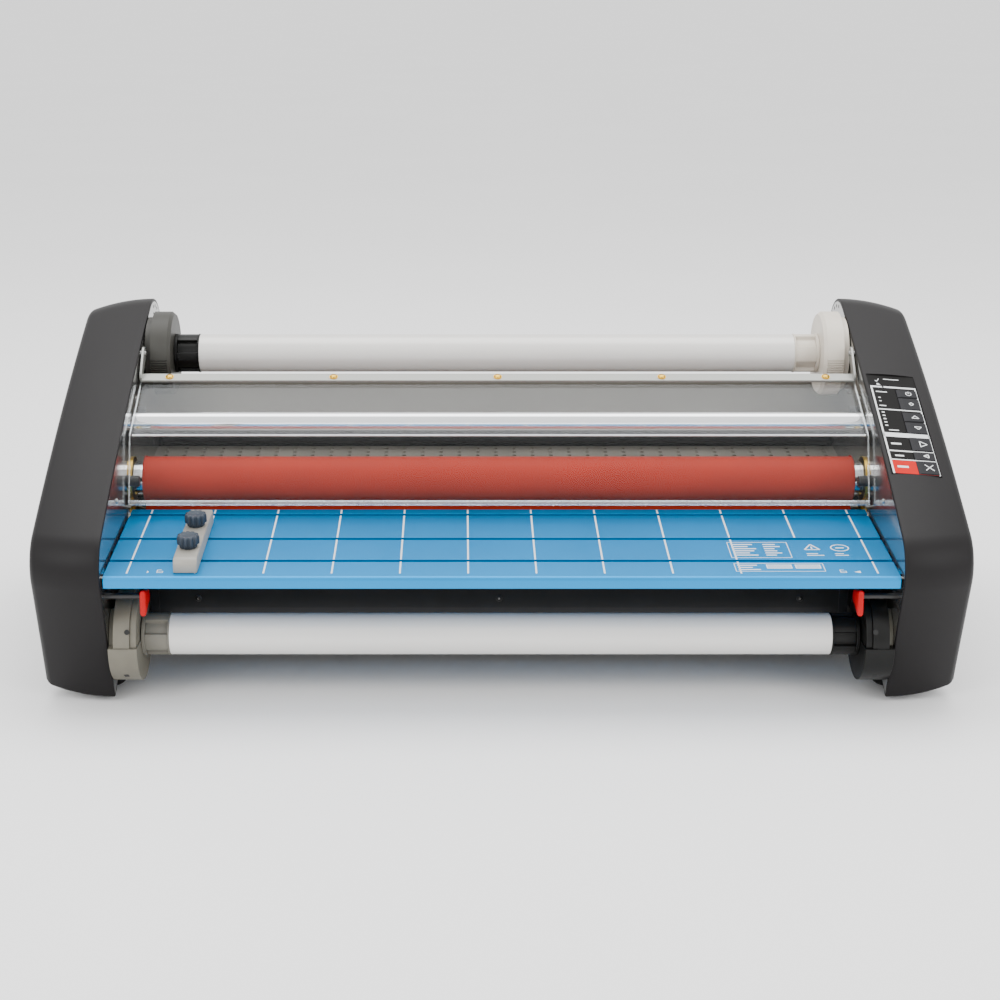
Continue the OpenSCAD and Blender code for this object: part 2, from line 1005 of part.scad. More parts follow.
module pulley(p, r, bore) {
    outer = gear_x + gear_w;
    difference() {
        union() {
            rod(r, -outer, -gear_x, p);
            rod(r + 1.6, -outer, -outer + 1, p);
            rod(r + 1.6, -gear_x - 1, -gear_x, p);
        }
        rod(bore, -outer - past, -gear_x + past, p);
    }
}

module nip_pulley() {
    color("#9a9a9a")
        pulley(lower_nip, nip_pulley_r, gear_bore_r);
}

module pull_pulley() {
    color("#9a9a9a")
        pulley(lower_pull, pull_pulley_r, pull_shaft_r);
}

module upper_pull_roller() {
    color("#1d1d1d") {
        rod(pull_r, -pull_end_x, pull_end_x, upper_pull);
        rod(pull_shaft_r, -shaft_out, shaft_out, upper_pull);
    }
}

module lower_pull_roller() {
    color("#1d1d1d") {
        rod(pull_r, -pull_end_x, pull_end_x, lower_pull);
        rod(pull_shaft_r, -stub_end, shaft_out, lower_pull);
    }
}

module idler_bar() {
    color("#d5d8da") {
        rod(idler_r, -(wall_x - gap), wall_x - gap, idler);
        rod(idler_pin_r, -shaft_out, shaft_out, idler);
    }
}

// Clear pane, bent over the film path, with a rolled lip above the table
module shield_pane() {
    top_dir = (bar_back - bend) / norm(bar_back - bend);
    low_dir = (lip - bend) / norm(lip - bend);
    top_in = [top_dir[1], -top_dir[0]];
    low_in = [-low_dir[1], low_dir[0]];
    inner_bend = bend + pane_t * (top_in + low_in) / (1 + top_in * low_in);
    width = inner_w - 2 * pane_side_gap;
    color([0.75, 0.85, 0.9, 0.35])
        along_x(width) {
            polygon([
                bar_back + pane_t * top_in,
                bar_back,
                bend,
                lip,
                lip + pane_t * low_in,
                inner_bend
            ]);
            translate(lip + lip_r * low_in)
                circle(r = lip_r, $fn = 24);
        }
}

// Bar over the back edge of the pane, with an arm and a hinge pin at each end
module shield_bar() {
    rise = (bar_back - bend) / norm(bar_back - bend);
    up = [-rise[1], rise[0]];
    front = bar_back - bar_w * rise;
    color("#c3c4bd") {
        along_x(inner_w - 2 * pane_side_gap)
            polygon([bar_back, bar_back + bar_t * up, front + bar_t * up, front]);
        both_sides() {
            difference() {
                translate([arm_x + arm_t / 2, 0, 0])
                    along_x(arm_t)
                        hull() {
                            translate(hinge)
                                circle(r = arm_hub_r, $fn = hull_fn);
                            translate(bar_back + arm_tip_r * up - arm_hub_r * rise)
                                circle(r = arm_tip_r, $fn = hull_fn);
                        }
                rod(shield_pin_r, shield_pin_x - past, wall_x, hinge);
            }
            rod(shield_pin_r, shield_pin_x, shaft_out, hinge);
        }
    }
}

module shield_rivets() {
    rise = (bar_back - bend) / norm(bar_back - bend);
    up = [-rise[1], rise[0]];
    seat = bar_back - bar_w / 2 * rise + bar_t * up;
    color("#c9a227")
        for (s = rivet_places)
            translate([s * inner_w, seat[0], seat[1]])
                rotate([atan2(rise[1], rise[0]), 0, 0])
                    cylinder(r1 = 3.5, r2 = 2.2, h = 1.8, $fn = 24);
}

// Extruded table: plate, round front, three T slots and a rear skirt
module table_shape() {
    difference() {
        union() {
            translate([-table_front + 4, -table_t])
                square([table_front - table_back - 4, table_t]);
            translate([-table_front, -table_face])
                square([3, table_face - 4]);
            translate([-table_front + 4, -4])
                circle(r = 4);
            translate([-table_back - 3, -9])
                square([3, 9]);
            for (s = slot_places)
                translate([-table_front + s - slot_in_w / 2 - slot_wall, -slot_floor])
                    square([slot_in_w + 2 * slot_wall, slot_floor]);
        }
        translate([-table_front + 3, -table_face])
            square([6, table_face - table_t - 1]);
        for (s = slot_places) {
            translate([-table_front + s - slot_gap / 2, -slot_in_top - past])
                square([slot_gap, slot_in_top + 2 * past]);
            translate([-table_front + s - slot_in_w / 2, -slot_in_top - slot_in_h])
                square([slot_in_w, slot_in_h]);
        }
    }
}

module feed_table() {
    color("#0a93d2")
        on_path()
            along_x(2 * table_half_w)
                table_shape();
}

module edge_guide() {
    front = -table_front + guide_start;
    back = -table_front + guide_end;
    nose = 8;
    color("#c6c4bc")
        on_path()
            difference() {
                translate([guide_x, 0, 0])
                    along_x(guide_w)
                        union() {
                            translate([front + nose, guide_lift])
                                square([back - front - nose, guide_h - guide_lift]);
                            translate([front, guide_lift])
                                square([nose, guide_h - guide_lift - nose]);
                            intersection() {
                                translate([front + nose, guide_h - nose])
                                    circle(r = nose);
                                translate([front, guide_h - nose])
                                    square(nose);
                            }
                        }
                for (s = [slot_places[0], slot_places[1]])
                    translate([guide_x, -table_front + s, -past])
                        cylinder(r = stud_r + fit, h = guide_h + 2 * past);
            }
}

// Fluted knob with a stud and a round foot in the T slot
module knob(s) {
    flutes = 11;
    seat = guide_h + guide_lift;
    foot_top = -slot_in_top - 0.8;
    foot_t = slot_in_h - 1.6;
    color("#4b5763")
        on_path()
            translate([guide_x, -table_front + s, 0]) {
                difference() {
                    translate([0, 0, seat])
                        cylinder(r = knob_d / 2, h = knob_h);
                    for (i = [0:flutes - 1])
                        rotate(i * 360 / flutes)
                            translate([knob_d / 2 + 0.9, 0, seat - past])
                                cylinder(r = 2, h = knob_h + 2 * past, $fn = 16);
                }
                translate([0, 0, foot_top])
                    cylinder(r = stud_r, h = seat - foot_top);
                translate([0, 0, foot_top - foot_t])
                    cylinder(r = slot_in_w / 2 - 0.7, h = foot_t);
            }
}

module front_knob() {
    knob(slot_places[0]);
}

module rear_knob() {
    knob(slot_places[1]);
}

// Leaf-shaped lever below the front of the table
module latch_lever() {
    color("#d7151f")
        difference() {
            translate([latch_x - latch_w / 2, 0, 0])
                along_x(latch_w)
                    hull() {
                        translate(latch)
                            circle(r = latch_hub_r, $fn = hull_fn);
                        for (tip = latch_tips)
                            translate(latch + tip)
                                circle(r = latch_tip_r, $fn = hull_fn);
                    }
            rod(latch_pin_r + fit, latch_x - latch_w - past, latch_x + past, latch);
        }
}

module left_latch() {
    mirror([1, 0, 0])
        latch_lever();
}

module right_latch() {
    latch_lever();
}

left_cover();
right_cover();
left_side_panel();
right_side_panel();
base_tray();
front_panel();
cooling_plate();
back_panel();
rear_cover();
roller_bearings();
heater_rods();
gear_motor();
circuit_board();
fan_frame();
fan_rotor();
power_inlet();
feet();
upper_saddles();
lower_saddles();
wall_posts();
control_overlay();
drive_belt();
upper_nip_shaft();
upper_nip_rubber();
lower_nip_shaft();
lower_nip_rubber();
upper_nip_gear();
lower_nip_gear();
motor_pinion();
nip_pulley();
pull_pulley();
upper_pull_roller();
lower_pull_roller();
idler_bar();
upper_core_tube();
upper_left_core_end();
upper_right_core_end();
lower_core_tube();
lower_left_core_end();
lower_right_core_end();
upper_left_retainer();
upper_right_retainer();
lower_left_retainer();
lower_right_retainer();
shield_pane();
shield_bar();
shield_rivets();
feed_table();
edge_guide();
front_knob();
rear_knob();
left_latch();
right_latch();
power_button();
mode_button();
speed_up_button();
speed_down_button();
run_button();
reverse_button();
stop_button();
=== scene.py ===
"""Looks of the desktop roll laminator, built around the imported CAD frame. Metres, +X right, +Y back, +Z up."""
import json
import math
from math import cos, radians, sin

import bmesh
import bpy
from mathutils import Matrix, Vector


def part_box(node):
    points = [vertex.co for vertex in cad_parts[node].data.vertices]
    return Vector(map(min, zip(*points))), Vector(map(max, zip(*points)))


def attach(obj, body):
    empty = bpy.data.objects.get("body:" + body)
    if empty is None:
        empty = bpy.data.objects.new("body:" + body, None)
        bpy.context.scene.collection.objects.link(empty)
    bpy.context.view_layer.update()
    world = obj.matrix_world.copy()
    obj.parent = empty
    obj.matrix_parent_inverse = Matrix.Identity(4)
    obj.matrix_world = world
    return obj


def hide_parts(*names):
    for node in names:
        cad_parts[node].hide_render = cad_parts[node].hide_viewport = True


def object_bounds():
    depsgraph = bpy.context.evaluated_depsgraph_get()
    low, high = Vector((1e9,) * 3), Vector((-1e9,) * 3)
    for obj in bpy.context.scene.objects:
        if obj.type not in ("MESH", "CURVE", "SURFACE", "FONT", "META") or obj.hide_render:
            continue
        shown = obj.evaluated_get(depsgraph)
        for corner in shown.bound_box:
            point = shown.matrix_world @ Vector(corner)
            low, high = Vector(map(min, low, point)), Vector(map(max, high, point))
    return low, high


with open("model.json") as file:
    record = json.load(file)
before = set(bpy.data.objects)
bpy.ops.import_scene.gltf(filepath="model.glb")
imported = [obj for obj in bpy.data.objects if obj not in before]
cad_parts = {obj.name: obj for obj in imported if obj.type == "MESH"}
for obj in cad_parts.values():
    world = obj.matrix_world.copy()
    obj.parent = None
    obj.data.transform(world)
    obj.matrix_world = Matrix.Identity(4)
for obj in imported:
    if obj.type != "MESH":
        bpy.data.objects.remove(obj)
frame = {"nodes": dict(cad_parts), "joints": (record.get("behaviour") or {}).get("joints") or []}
cad_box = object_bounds()

MM = 0.001
ARC = 64


# ---------------------------------------------------------------- camera
def add_camera():
    """Looks down at 16.5 degrees from in front, square to the rollers."""
    low, high = cad_box
    camera = bpy.data.objects.new("camera", bpy.data.cameras.new("camera"))
    camera.data.lens = 66.6
    camera.data.sensor_width = 36.0
    camera.data.shift_x = 0.038
    camera.location = (-0.037, low[1] - 1.6179, 0.6964)
    camera.rotation_euler = (radians(73.5), 0.0, 0.0)
    bpy.context.scene.collection.objects.link(camera)
    bpy.context.scene.camera = camera


add_camera()


# ---------------------------------------------------------------- places, all from the frame
def middle(node):
    low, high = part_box(node)
    return (low + high) / 2


def axis_of(node):
    """X span, (y, z) centre and radius of a round node that lies along X."""
    low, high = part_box(node)
    return low.x, high.x, (low.y + high.y) / 2, (low.z + high.z) / 2, (high.z - low.z) / 2


FRONT_Y = cad_box[0][1]
WALL_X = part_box("right_side_panel")[1].x - 2.5 * MM
OUTER_X = cad_box[1][0]
NIP_UP, NIP_DOWN = middle("upper_nip_rubber"), middle("lower_nip_rubber")
NIP = (NIP_UP + NIP_DOWN) / 2
PATH_N = (NIP_UP - NIP_DOWN).normalized()
PATH_T = Vector((0, PATH_N.z, -PATH_N.y))
TABLE_LOW, TABLE_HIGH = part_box("feed_table")
GUIDE_LOW, GUIDE_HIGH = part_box("edge_guide")


def on_path(x, t, n):
    """x in metres; t back along the film path and n above it in millimetres."""
    return Vector((x, 0, 0)) + Vector((0, NIP.y, NIP.z)) + PATH_T * (t * MM) + PATH_N * (n * MM)


def joint(name):
    return next(j for j in frame["joints"] if j["name"] == name)


PANEL_N = -Vector(joint("power_press")["axis"])
PANEL_V = Vector((0, PANEL_N.z, -PANEL_N.y)).normalized()
PANEL_U = PANEL_V.cross(PANEL_N)
PANEL_DEEP = 8.0
PANEL_C = middle("control_overlay") + PANEL_N * (PANEL_DEEP / 2 * MM)
PANEL_W, PANEL_L = 49.5, 155.4


def on_panel(u, v, n):
    """Millimetres from the panel's left edge, up from its lower edge, and above its face."""
    return PANEL_C + (PANEL_U * (u - PANEL_W / 2) + PANEL_V * (v - PANEL_L / 2) + PANEL_N * n) * MM


# ---------------------------------------------------------------- materials
MATERIALS = {}


def material(name, colour, rough, metal=0.0, vary=0.08, scale=60.0, bump=0.08, bump_scale=900.0,
             stretch=(1, 1, 1), rough_vary=0.06, coat=0.0, sheen=0.0, specular=0.5):
    """Principled surface whose colour, roughness and fine relief all vary with position."""
    mat = bpy.data.materials.new(name)
    mat.use_nodes = True
    tree = mat.node_tree
    shader = tree.nodes["Principled BSDF"]
    shader.inputs["Metallic"].default_value = metal
    shader.inputs["Coat Weight"].default_value = coat
    shader.inputs["Coat Roughness"].default_value = 0.08
    shader.inputs["Sheen Weight"].default_value = sheen
    shader.inputs["Specular IOR Level"].default_value = specular
    place = tree.nodes.new("ShaderNodeTexCoord")
    mapping = tree.nodes.new("ShaderNodeMapping")
    mapping.inputs["Scale"].default_value = stretch
    tree.links.new(place.outputs["Object"], mapping.inputs["Vector"])
    cloud = noise_node(tree, mapping, scale, 4)
    ramp = tree.nodes.new("ShaderNodeValToRGB")
    ramp.color_ramp.elements[0].position = 0.3
    ramp.color_ramp.elements[1].position = 0.7
    ramp.color_ramp.elements[0].color = (*[c * (1 - vary) for c in colour], 1)
    ramp.color_ramp.elements[1].color = (*[min(1, c * (1 + vary)) for c in colour], 1)
    tree.links.new(cloud.outputs["Fac"], ramp.inputs["Fac"])
    tree.links.new(ramp.outputs["Color"], shader.inputs["Base Color"])
    spread = tree.nodes.new("ShaderNodeMapRange")
    spread.inputs["To Min"].default_value = max(0.02, rough - rough_vary)
    spread.inputs["To Max"].default_value = min(1, rough + rough_vary)
    tree.links.new(cloud.outputs["Fac"], spread.inputs["Value"])
    tree.links.new(spread.outputs["Result"], shader.inputs["Roughness"])
    grain = noise_node(tree, mapping, bump_scale, 3)
    relief = tree.nodes.new("ShaderNodeBump")
    relief.inputs["Strength"].default_value = bump
    relief.inputs["Distance"].default_value = 0.0002
    tree.links.new(grain.outputs["Fac"], relief.inputs["Height"])
    tree.links.new(relief.outputs["Normal"], shader.inputs["Normal"])
    MATERIALS[name] = mat
    return mat


def noise_node(tree, mapping, scale, detail):
    noise = tree.nodes.new("ShaderNodeTexNoise")
    noise.inputs["Scale"].default_value = scale
    noise.inputs["Detail"].default_value = detail
    tree.links.new(mapping.outputs["Vector"], noise.inputs["Vector"])
    return noise


def clear_material(name, face_on, slant, edge_on, rough):
    """Clear acrylic: a mirror film that is nearly open face on, and shows more at a slant."""
    mat = material(name, (0.93, 0.97, 0.99), rough, metal=1.0, vary=0.02, scale=12, bump=0.0, bump_scale=40,
                   rough_vary=0.01)
    tree = mat.node_tree
    weight = tree.nodes.new("ShaderNodeLayerWeight")
    weight.inputs["Blend"].default_value = 0.5
    ramp = tree.nodes.new("ShaderNodeValToRGB")
    levels = ramp.color_ramp.elements
    levels[0].color = (face_on, face_on, face_on, 1)
    levels[1].color = (edge_on, edge_on, edge_on, 1)
    levels.new(0.7).color = (slant, slant, slant, 1)
    tree.links.new(weight.outputs["Facing"], ramp.inputs["Fac"])
    tree.links.new(ramp.outputs["Color"], tree.nodes["Principled BSDF"].inputs["Alpha"])
    return mat


material("cover", (0.0085, 0.0076, 0.0079), 0.44, vary=0.06, scale=14, bump=0.16, bump_scale=2600, rough_vary=0.04,
         specular=0.16)
material("panel", (0.32, 0.32, 0.31), 0.14, metal=0.9, vary=0.05, scale=10, bump=0.03, bump_scale=500,
         rough_vary=0.03)
material("tray", (0.07, 0.07, 0.07), 0.45, bump_scale=1500)
material("front_panel", (0.018, 0.018, 0.0185), 0.36, specular=0.25, vary=0.1, scale=20, bump=0.1, bump_scale=1800, coat=0.15)
material("plate", (0.22, 0.205, 0.175), 0.4, metal=0.45, vary=0.06, scale=25, bump=0.05)
material("back_panel", (0.105, 0.096, 0.08), 0.42, metal=0.25, vary=0.05, scale=8, bump=0.05)
material("rear_cover", (0.05, 0.048, 0.048), 0.42, vary=0.08, scale=20, bump=0.18, bump_scale=2200)
material("bearing", (0.62, 0.4, 0.07), 0.3, metal=0.9, vary=0.12, scale=120)
material("heater", (0.55, 0.53, 0.48), 0.35, metal=0.9, vary=0.1, scale=90)
material("motor", (0.12, 0.13, 0.14), 0.4, metal=0.6, vary=0.1, scale=80)
material("board", (0.03, 0.15, 0.06), 0.4, vary=0.2, scale=300, bump=0.2)
material("fan", (0.028, 0.028, 0.028), 0.45, bump_scale=1500)
material("inlet", (0.018, 0.018, 0.018), 0.42, bump_scale=1500)
material("foot", (0.007, 0.007, 0.007), 0.62, specular=0.25, vary=0.15, scale=150, bump=0.3, bump_scale=1500)
material("holder_dark", (0.034, 0.033, 0.028), 0.46, specular=0.3, vary=0.06, scale=70, bump=0.12, bump_scale=2500)
material("holder_cream", (0.6, 0.55, 0.47), 0.42, vary=0.03, scale=70, bump=0.08, bump_scale=2500)
material("holder_grey", (0.14, 0.13, 0.102), 0.48, specular=0.3, vary=0.06, scale=70, bump=0.12, bump_scale=2500)
material("holder_black", (0.005, 0.005, 0.0046), 0.34, specular=0.18, vary=0.1, scale=70, bump=0.1, bump_scale=2500)
material("core_end_grey", (0.15, 0.142, 0.118), 0.45, specular=0.3, vary=0.05, scale=70, bump=0.1, bump_scale=2500)
material("post", (0.008, 0.008, 0.008), 0.35, bump_scale=2000)
material("overlay", (0.006, 0.0056, 0.0054), 0.5, specular=0.08, vary=0.12, scale=120, bump=0.06, bump_scale=3000)
material("belt", (0.014, 0.014, 0.014), 0.6, vary=0.2, scale=200, bump=0.3)
material("shaft", (0.74, 0.75, 0.76), 0.12, metal=1.0, vary=0.04, scale=60, bump=0.04, stretch=(0.05, 1, 1),
         rough_vary=0.04)
material("roller_rubber", (0.28, 0.02, 0.009), 0.6, specular=0.12, vary=0.07, scale=45, bump=0.2, bump_scale=1800, sheen=0.0,
         stretch=(0.35, 1, 1))
material("gear", (0.68, 0.65, 0.57), 0.4, vary=0.05, scale=150)
material("pinion", (0.55, 0.36, 0.1), 0.3, metal=1.0, vary=0.1, scale=150)
material("pulley", (0.5, 0.5, 0.5), 0.32, metal=1.0, vary=0.08, scale=150)
material("pull_roller", (0.009, 0.009, 0.009), 0.5, vary=0.15, scale=60, bump=0.2, bump_scale=1500)
material("idler", (0.82, 0.83, 0.84), 0.07, metal=1.0, vary=0.03, scale=30, bump=0.02, stretch=(0.05, 1, 1),
         rough_vary=0.03)
material("core", (0.68, 0.665, 0.635), 0.3, metal=0.1, vary=0.025, scale=25, bump=0.05, bump_scale=700,
         stretch=(0.2, 1, 1), coat=0.1)
material("bar", (0.3, 0.305, 0.285), 0.3, metal=0.6, vary=0.04, scale=30, bump=0.08, bump_scale=900,
         stretch=(0.03, 1, 1))
material("rivet", (0.6, 0.36, 0.05), 0.16, metal=1.0, vary=0.1, scale=200)
material("table", (0.0, 0.24, 0.56), 0.36, metal=0.65, specular=0.04, vary=0.035, scale=9, bump=0.05, bump_scale=1300,
         rough_vary=0.04, coat=0.03)
# Painted shade: dark strips laid in the table's T-slots stand for the shade inside them.
material("slot_dark", (0.006, 0.03, 0.07), 0.5)
material("guide", (0.26, 0.25, 0.22), 0.42, vary=0.03, scale=80, bump=0.08, bump_scale=2500)
material("knob", (0.025, 0.035, 0.05), 0.46, specular=0.3, vary=0.08, scale=120, bump=0.15, bump_scale=2500)
material("latch", (0.4, 0.001, 0.003), 0.34, specular=0.1, vary=0.06, scale=80, bump=0.04, coat=0.12)
material("button", (0.012, 0.012, 0.014), 0.42, specular=0.12, vary=0.08, scale=150, bump=0.05)
material("print_white", (0.7, 0.72, 0.72), 0.5, vary=0.03, scale=300, bump=0.03)
material("print_red", (0.5, 0.012, 0.01), 0.5, specular=0.06, vary=0.04, scale=200, bump=0.03)
material("screw", (0.4, 0.4, 0.39), 0.28, metal=1.0, vary=0.1, scale=300)
# Near black: painted shade for the retainer's hole and window, and the panel lamp's own dark lens.
material("dark_hole", (0.006, 0.006, 0.006), 0.7)
clear_material("pane", 0.01, 0.035, 0.6, 0.04)
# Side edges and rolled lip: a less clear film, partly the thicker acrylic there and partly painted highlight for their
# bright lines.
clear_material("pane_edge", 0.2, 0.4, 0.9, 0.08)
# Painted highlight: a more opaque film for a strip inside the shield's bend.
clear_material("pane_bend", 0.4, 0.6, 0.9, 0.06)


# ---------------------------------------------------------------- mesh helpers
def piece(name, verts, faces, mat, body, slot, replaces=(), bevel=0.0, segments=3, angle=40.0, smooth=True):
    """A named mesh that rides on a body; bevel is in millimetres."""
    mesh = bpy.data.meshes.new(name)
    mesh.from_pydata([tuple(v) for v in verts], [], faces)
    bm = bmesh.new()
    bm.from_mesh(mesh)
    bmesh.ops.remove_doubles(bm, verts=bm.verts, dist=1e-7)
    bmesh.ops.recalc_face_normals(bm, faces=bm.faces)
    bm.to_mesh(mesh)
    bm.free()
    obj = bpy.data.objects.new(name, mesh)
    bpy.context.scene.collection.objects.link(obj)
    mesh.materials.append(MATERIALS[mat])
    if smooth:
        mesh.shade_smooth()
        mesh.set_sharp_from_angle(angle=radians(angle))
    if bevel:
        add_bevel(obj, bevel, segments, angle)
    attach(obj, body)
    if replaces:
        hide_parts(*replaces)
    return obj


def add_bevel(obj, width, segments=2, angle=40.0):
    mod = obj.modifiers.new("bevel", "BEVEL")
    mod.width = width * MM
    mod.segments = segments
    mod.limit_method = "ANGLE"
    mod.angle_limit = radians(angle)
    mod.harden_normals = True


def merge(parts):
    """Joins (verts, faces) pairs into one pair."""
    verts, faces = [], []
    for v, f in parts:
        base = len(verts)
        verts += list(v)
        faces += [[i + base for i in face] for face in f]
    return verts, faces


def loft(rings, closed=True, caps=True):
    """Skins equal rings of points; closed rings run round, caps shut the two ends."""
    n = len(rings[0])
    verts = [p for ring in rings for p in ring]
    last = n if closed else n - 1
    faces = [
        [k * n + i, k * n + (i + 1) % n, (k + 1) * n + (i + 1) % n, (k + 1) * n + i]
        for k in range(len(rings) - 1) for i in range(last)
    ]
    if caps:
        faces += [list(range(n - 1, -1, -1)), [(len(rings) - 1) * n + i for i in range(n)]]
    return verts, faces


def lathe(profile, y, z, steps=ARC):
    """Revolves (x, radius) points about the X direction through (y, z). A radius of 0 ends in one point."""
    rings = [
        [Vector((x, y + r * cos(a), z + r * sin(a)))
         for a in (2 * math.pi * i / steps for i in range(steps))]
        for x, r in profile
    ]
    return loft(rings, caps=False)


def extrude_x(outline, x0, x1):
    """Prism along X from (y, z) points."""
    return loft([[Vector((x, y, z)) for y, z in outline] for x in (x0, x1)])


def slab(corners, depth):
    """Closed slab below a four-sided face; depth is a vector."""
    return loft([[Vector(c) for c in corners], [Vector(c) + depth for c in corners]])


def path_slab(x0, x1, t0, t1, n0, n1):
    corners = [on_path(x0, t0, n1), on_path(x1, t0, n1), on_path(x1, t1, n1), on_path(x0, t1, n1)]
    return slab(corners, PATH_N * ((n0 - n1) * MM))


def circle_points(y, z, r, a0, a1, steps):
    return [
        (y + r * cos(radians(a0 + (a1 - a0) * i / steps)), z + r * sin(radians(a0 + (a1 - a0) * i / steps)))
        for i in range(steps + 1)
    ]


def disc(centre, normal, r, thick, steps=24, dome=0.0):
    """Round slab with an optional domed top, on a plane with the given normal."""
    side = normal.orthogonal().normalized()
    other = normal.cross(side)
    levels = [(0.0, 1.0), (thick, 1.0)]
    if dome:
        levels += [(thick + dome * sin(a), cos(a)) for a in (0.5, 1.0, 1.4)]
    rings = [
        [centre + normal * h + (side * cos(a) + other * sin(a)) * (r * s)
         for a in (2 * math.pi * i / steps for i in range(steps))]
        for h, s in levels
    ]
    return loft(rings)


def subtract(obj, solid):
    """Cuts a closed (verts, faces) solid out of a piece."""
    mesh = bpy.data.meshes.new("cutter")
    mesh.from_pydata([tuple(v) for v in solid[0]], [], solid[1])
    bm = bmesh.new()
    bm.from_mesh(mesh)
    bmesh.ops.recalc_face_normals(bm, faces=bm.faces)
    bm.to_mesh(mesh)
    bm.free()
    cutter = bpy.data.objects.new("cutter", mesh)
    bpy.context.scene.collection.objects.link(cutter)
    cut = obj.modifiers.new("cut", "BOOLEAN")
    cut.object = cutter
    cut.operation = "DIFFERENCE"
    cut.solver = "EXACT"
    depsgraph = bpy.context.evaluated_depsgraph_get()
    depsgraph.update()
    obj.data = bpy.data.meshes.new_from_object(obj.evaluated_get(depsgraph))
    obj.modifiers.clear()
    bpy.data.objects.remove(cutter)


def finish_node(node, mat, bevel=0.0):
    """Gives a CAD node its material, and softens its edges with a modifier."""
    obj = frame["nodes"][node]
    obj.data.materials.clear()
    obj.data.materials.append(MATERIALS[mat])
    if bevel:
        add_bevel(obj, bevel)


# ---------------------------------------------------------------- side covers
def tangent_normal(a, ra, b, rb):
    dy, dz = b[0] - a[0], b[1] - a[1]
    return math.degrees(math.atan2(dz, dy)) + 90 - math.degrees(math.asin((ra - rb) / math.hypot(dy, dz)))


def outline(inset, fine=3):
    """Side outline in metres, the CAD's construction with more steps."""
    depth = (cad_box[1][1] - cad_box[0][1]) / MM
    nose = (42.0, 140.0)
    top = (370.0, cad_box[1][2] / MM - 52.0)
    rear_high, rear_low = (depth - 20, 190.0), (depth - 20, 42.0)
    lean, foot = 18.8, 22.0
    toe = (nose[0] + ((nose[1] - 9) * sin(radians(lean)) - 42 + 4) / cos(radians(lean)), 9.0)
    slope = tangent_normal(nose, 42, top, 52)
    rear = tangent_normal(top, 52, rear_high, 20)
    bulge = 6.0
    swing = math.degrees(math.atan(4 * bulge / math.hypot(top[0] - nose[0], top[1] - nose[1])))
    first = circle_points(*nose, 42 - inset, 180 + lean, slope + swing, 10 * fine)
    upper = circle_points(*top, 52 - inset, slope - swing, rear, 10 * fine)
    p, q = first[-1], upper[0]
    steps = 10 * fine
    lifts = [(i / steps, 4 * bulge * (i / steps) * (1 - i / steps)) for i in range(1, steps)]
    middle_part = [
        (p[0] + (q[0] - p[0]) * s + h * cos(radians(slope)), p[1] + (q[1] - p[1]) * s + h * sin(radians(slope)))
        for s, h in lifts
    ]
    points = (
        first + middle_part + upper
        + circle_points(*rear_high, 20 - inset, rear, 0, 3 * fine)
        + circle_points(*rear_low, 20 - inset, 0, -90, 5 * fine)
        + [(76 + inset / 3, foot + inset)]
        + circle_points(*toe, max(0.5, 4 - inset), -57, lean - 180, 4 * fine)
    )
    return [((y - depth / 2) * MM, z * MM) for y, z in points]


def cover_ring(side, u, inset):
    """One ring of a cover, u millimetres from its inner side."""
    shrink = 1 - 0.065 * (u * MM / (OUTER_X - WALL_X)) ** 2
    return [
        Vector((side * (WALL_X + u * MM), y * shrink, 0.15 + (z - 0.15) * shrink))
        for y, z in outline(inset)
    ]


def cover(side, name, node):
    width = (OUTER_X - WALL_X) / MM
    edge, rim = 6.0, 1.4
    rings = [cover_ring(side, (width - 3) * s, 3) for s in (1, 0.5, 0)]
    rings += [cover_ring(side, rim * (1 - cos(radians(a))), rim * (1 - sin(radians(a)))) for a in (0, 30, 60, 90)]
    rings += [cover_ring(side, rim + (width - edge - rim) * i / 14, 0) for i in range(1, 15)]
    rings += [cover_ring(side, width - edge + edge * sin(radians(a)), edge * (1 - cos(radians(a))))
              for a in range(12, 91, 13)]
    return piece(name, *loft(rings), "cover", "machine", "cover", replaces=[node], angle=50)


def covers():
    cover(-1, "left_cover_shell", "left_cover")
    shell = cover(1, "right_cover_shell", "right_cover")
    reach = 20
    corners = [on_panel(u, v, reach) for u, v in ((0, 0), (PANEL_W, 0), (PANEL_W, PANEL_L), (0, PANEL_L))]
    subtract(shell, slab(corners, PANEL_N * (-2 * reach * MM)))
    shell.data.shade_smooth()
    shell.data.set_sharp_from_angle(angle=radians(35))


covers()


# ---------------------------------------------------------------- round pieces along X
def rounded_rod(name, node, mat, body, slot, edge=0.8, flat=0.0):
    """Rod with rounded ends in place of a CAD cylinder."""
    x0, x1, y, z, r = axis_of(node)
    e = edge * MM
    bend = [(e * (1 - sin(a)), e * (1 - cos(a))) for a in (0, 0.5, 1.0, math.pi / 2)]
    left = [(x0, flat)] + [(x0 + dx, r - dr) for dx, dr in reversed([(b[1], b[0]) for b in bend])]
    right = [(x1 - (x - x0), rr) for x, rr in reversed(left)]
    return piece(name, *lathe(left + right, y, z, 96), mat, body, slot, replaces=[node], angle=60)


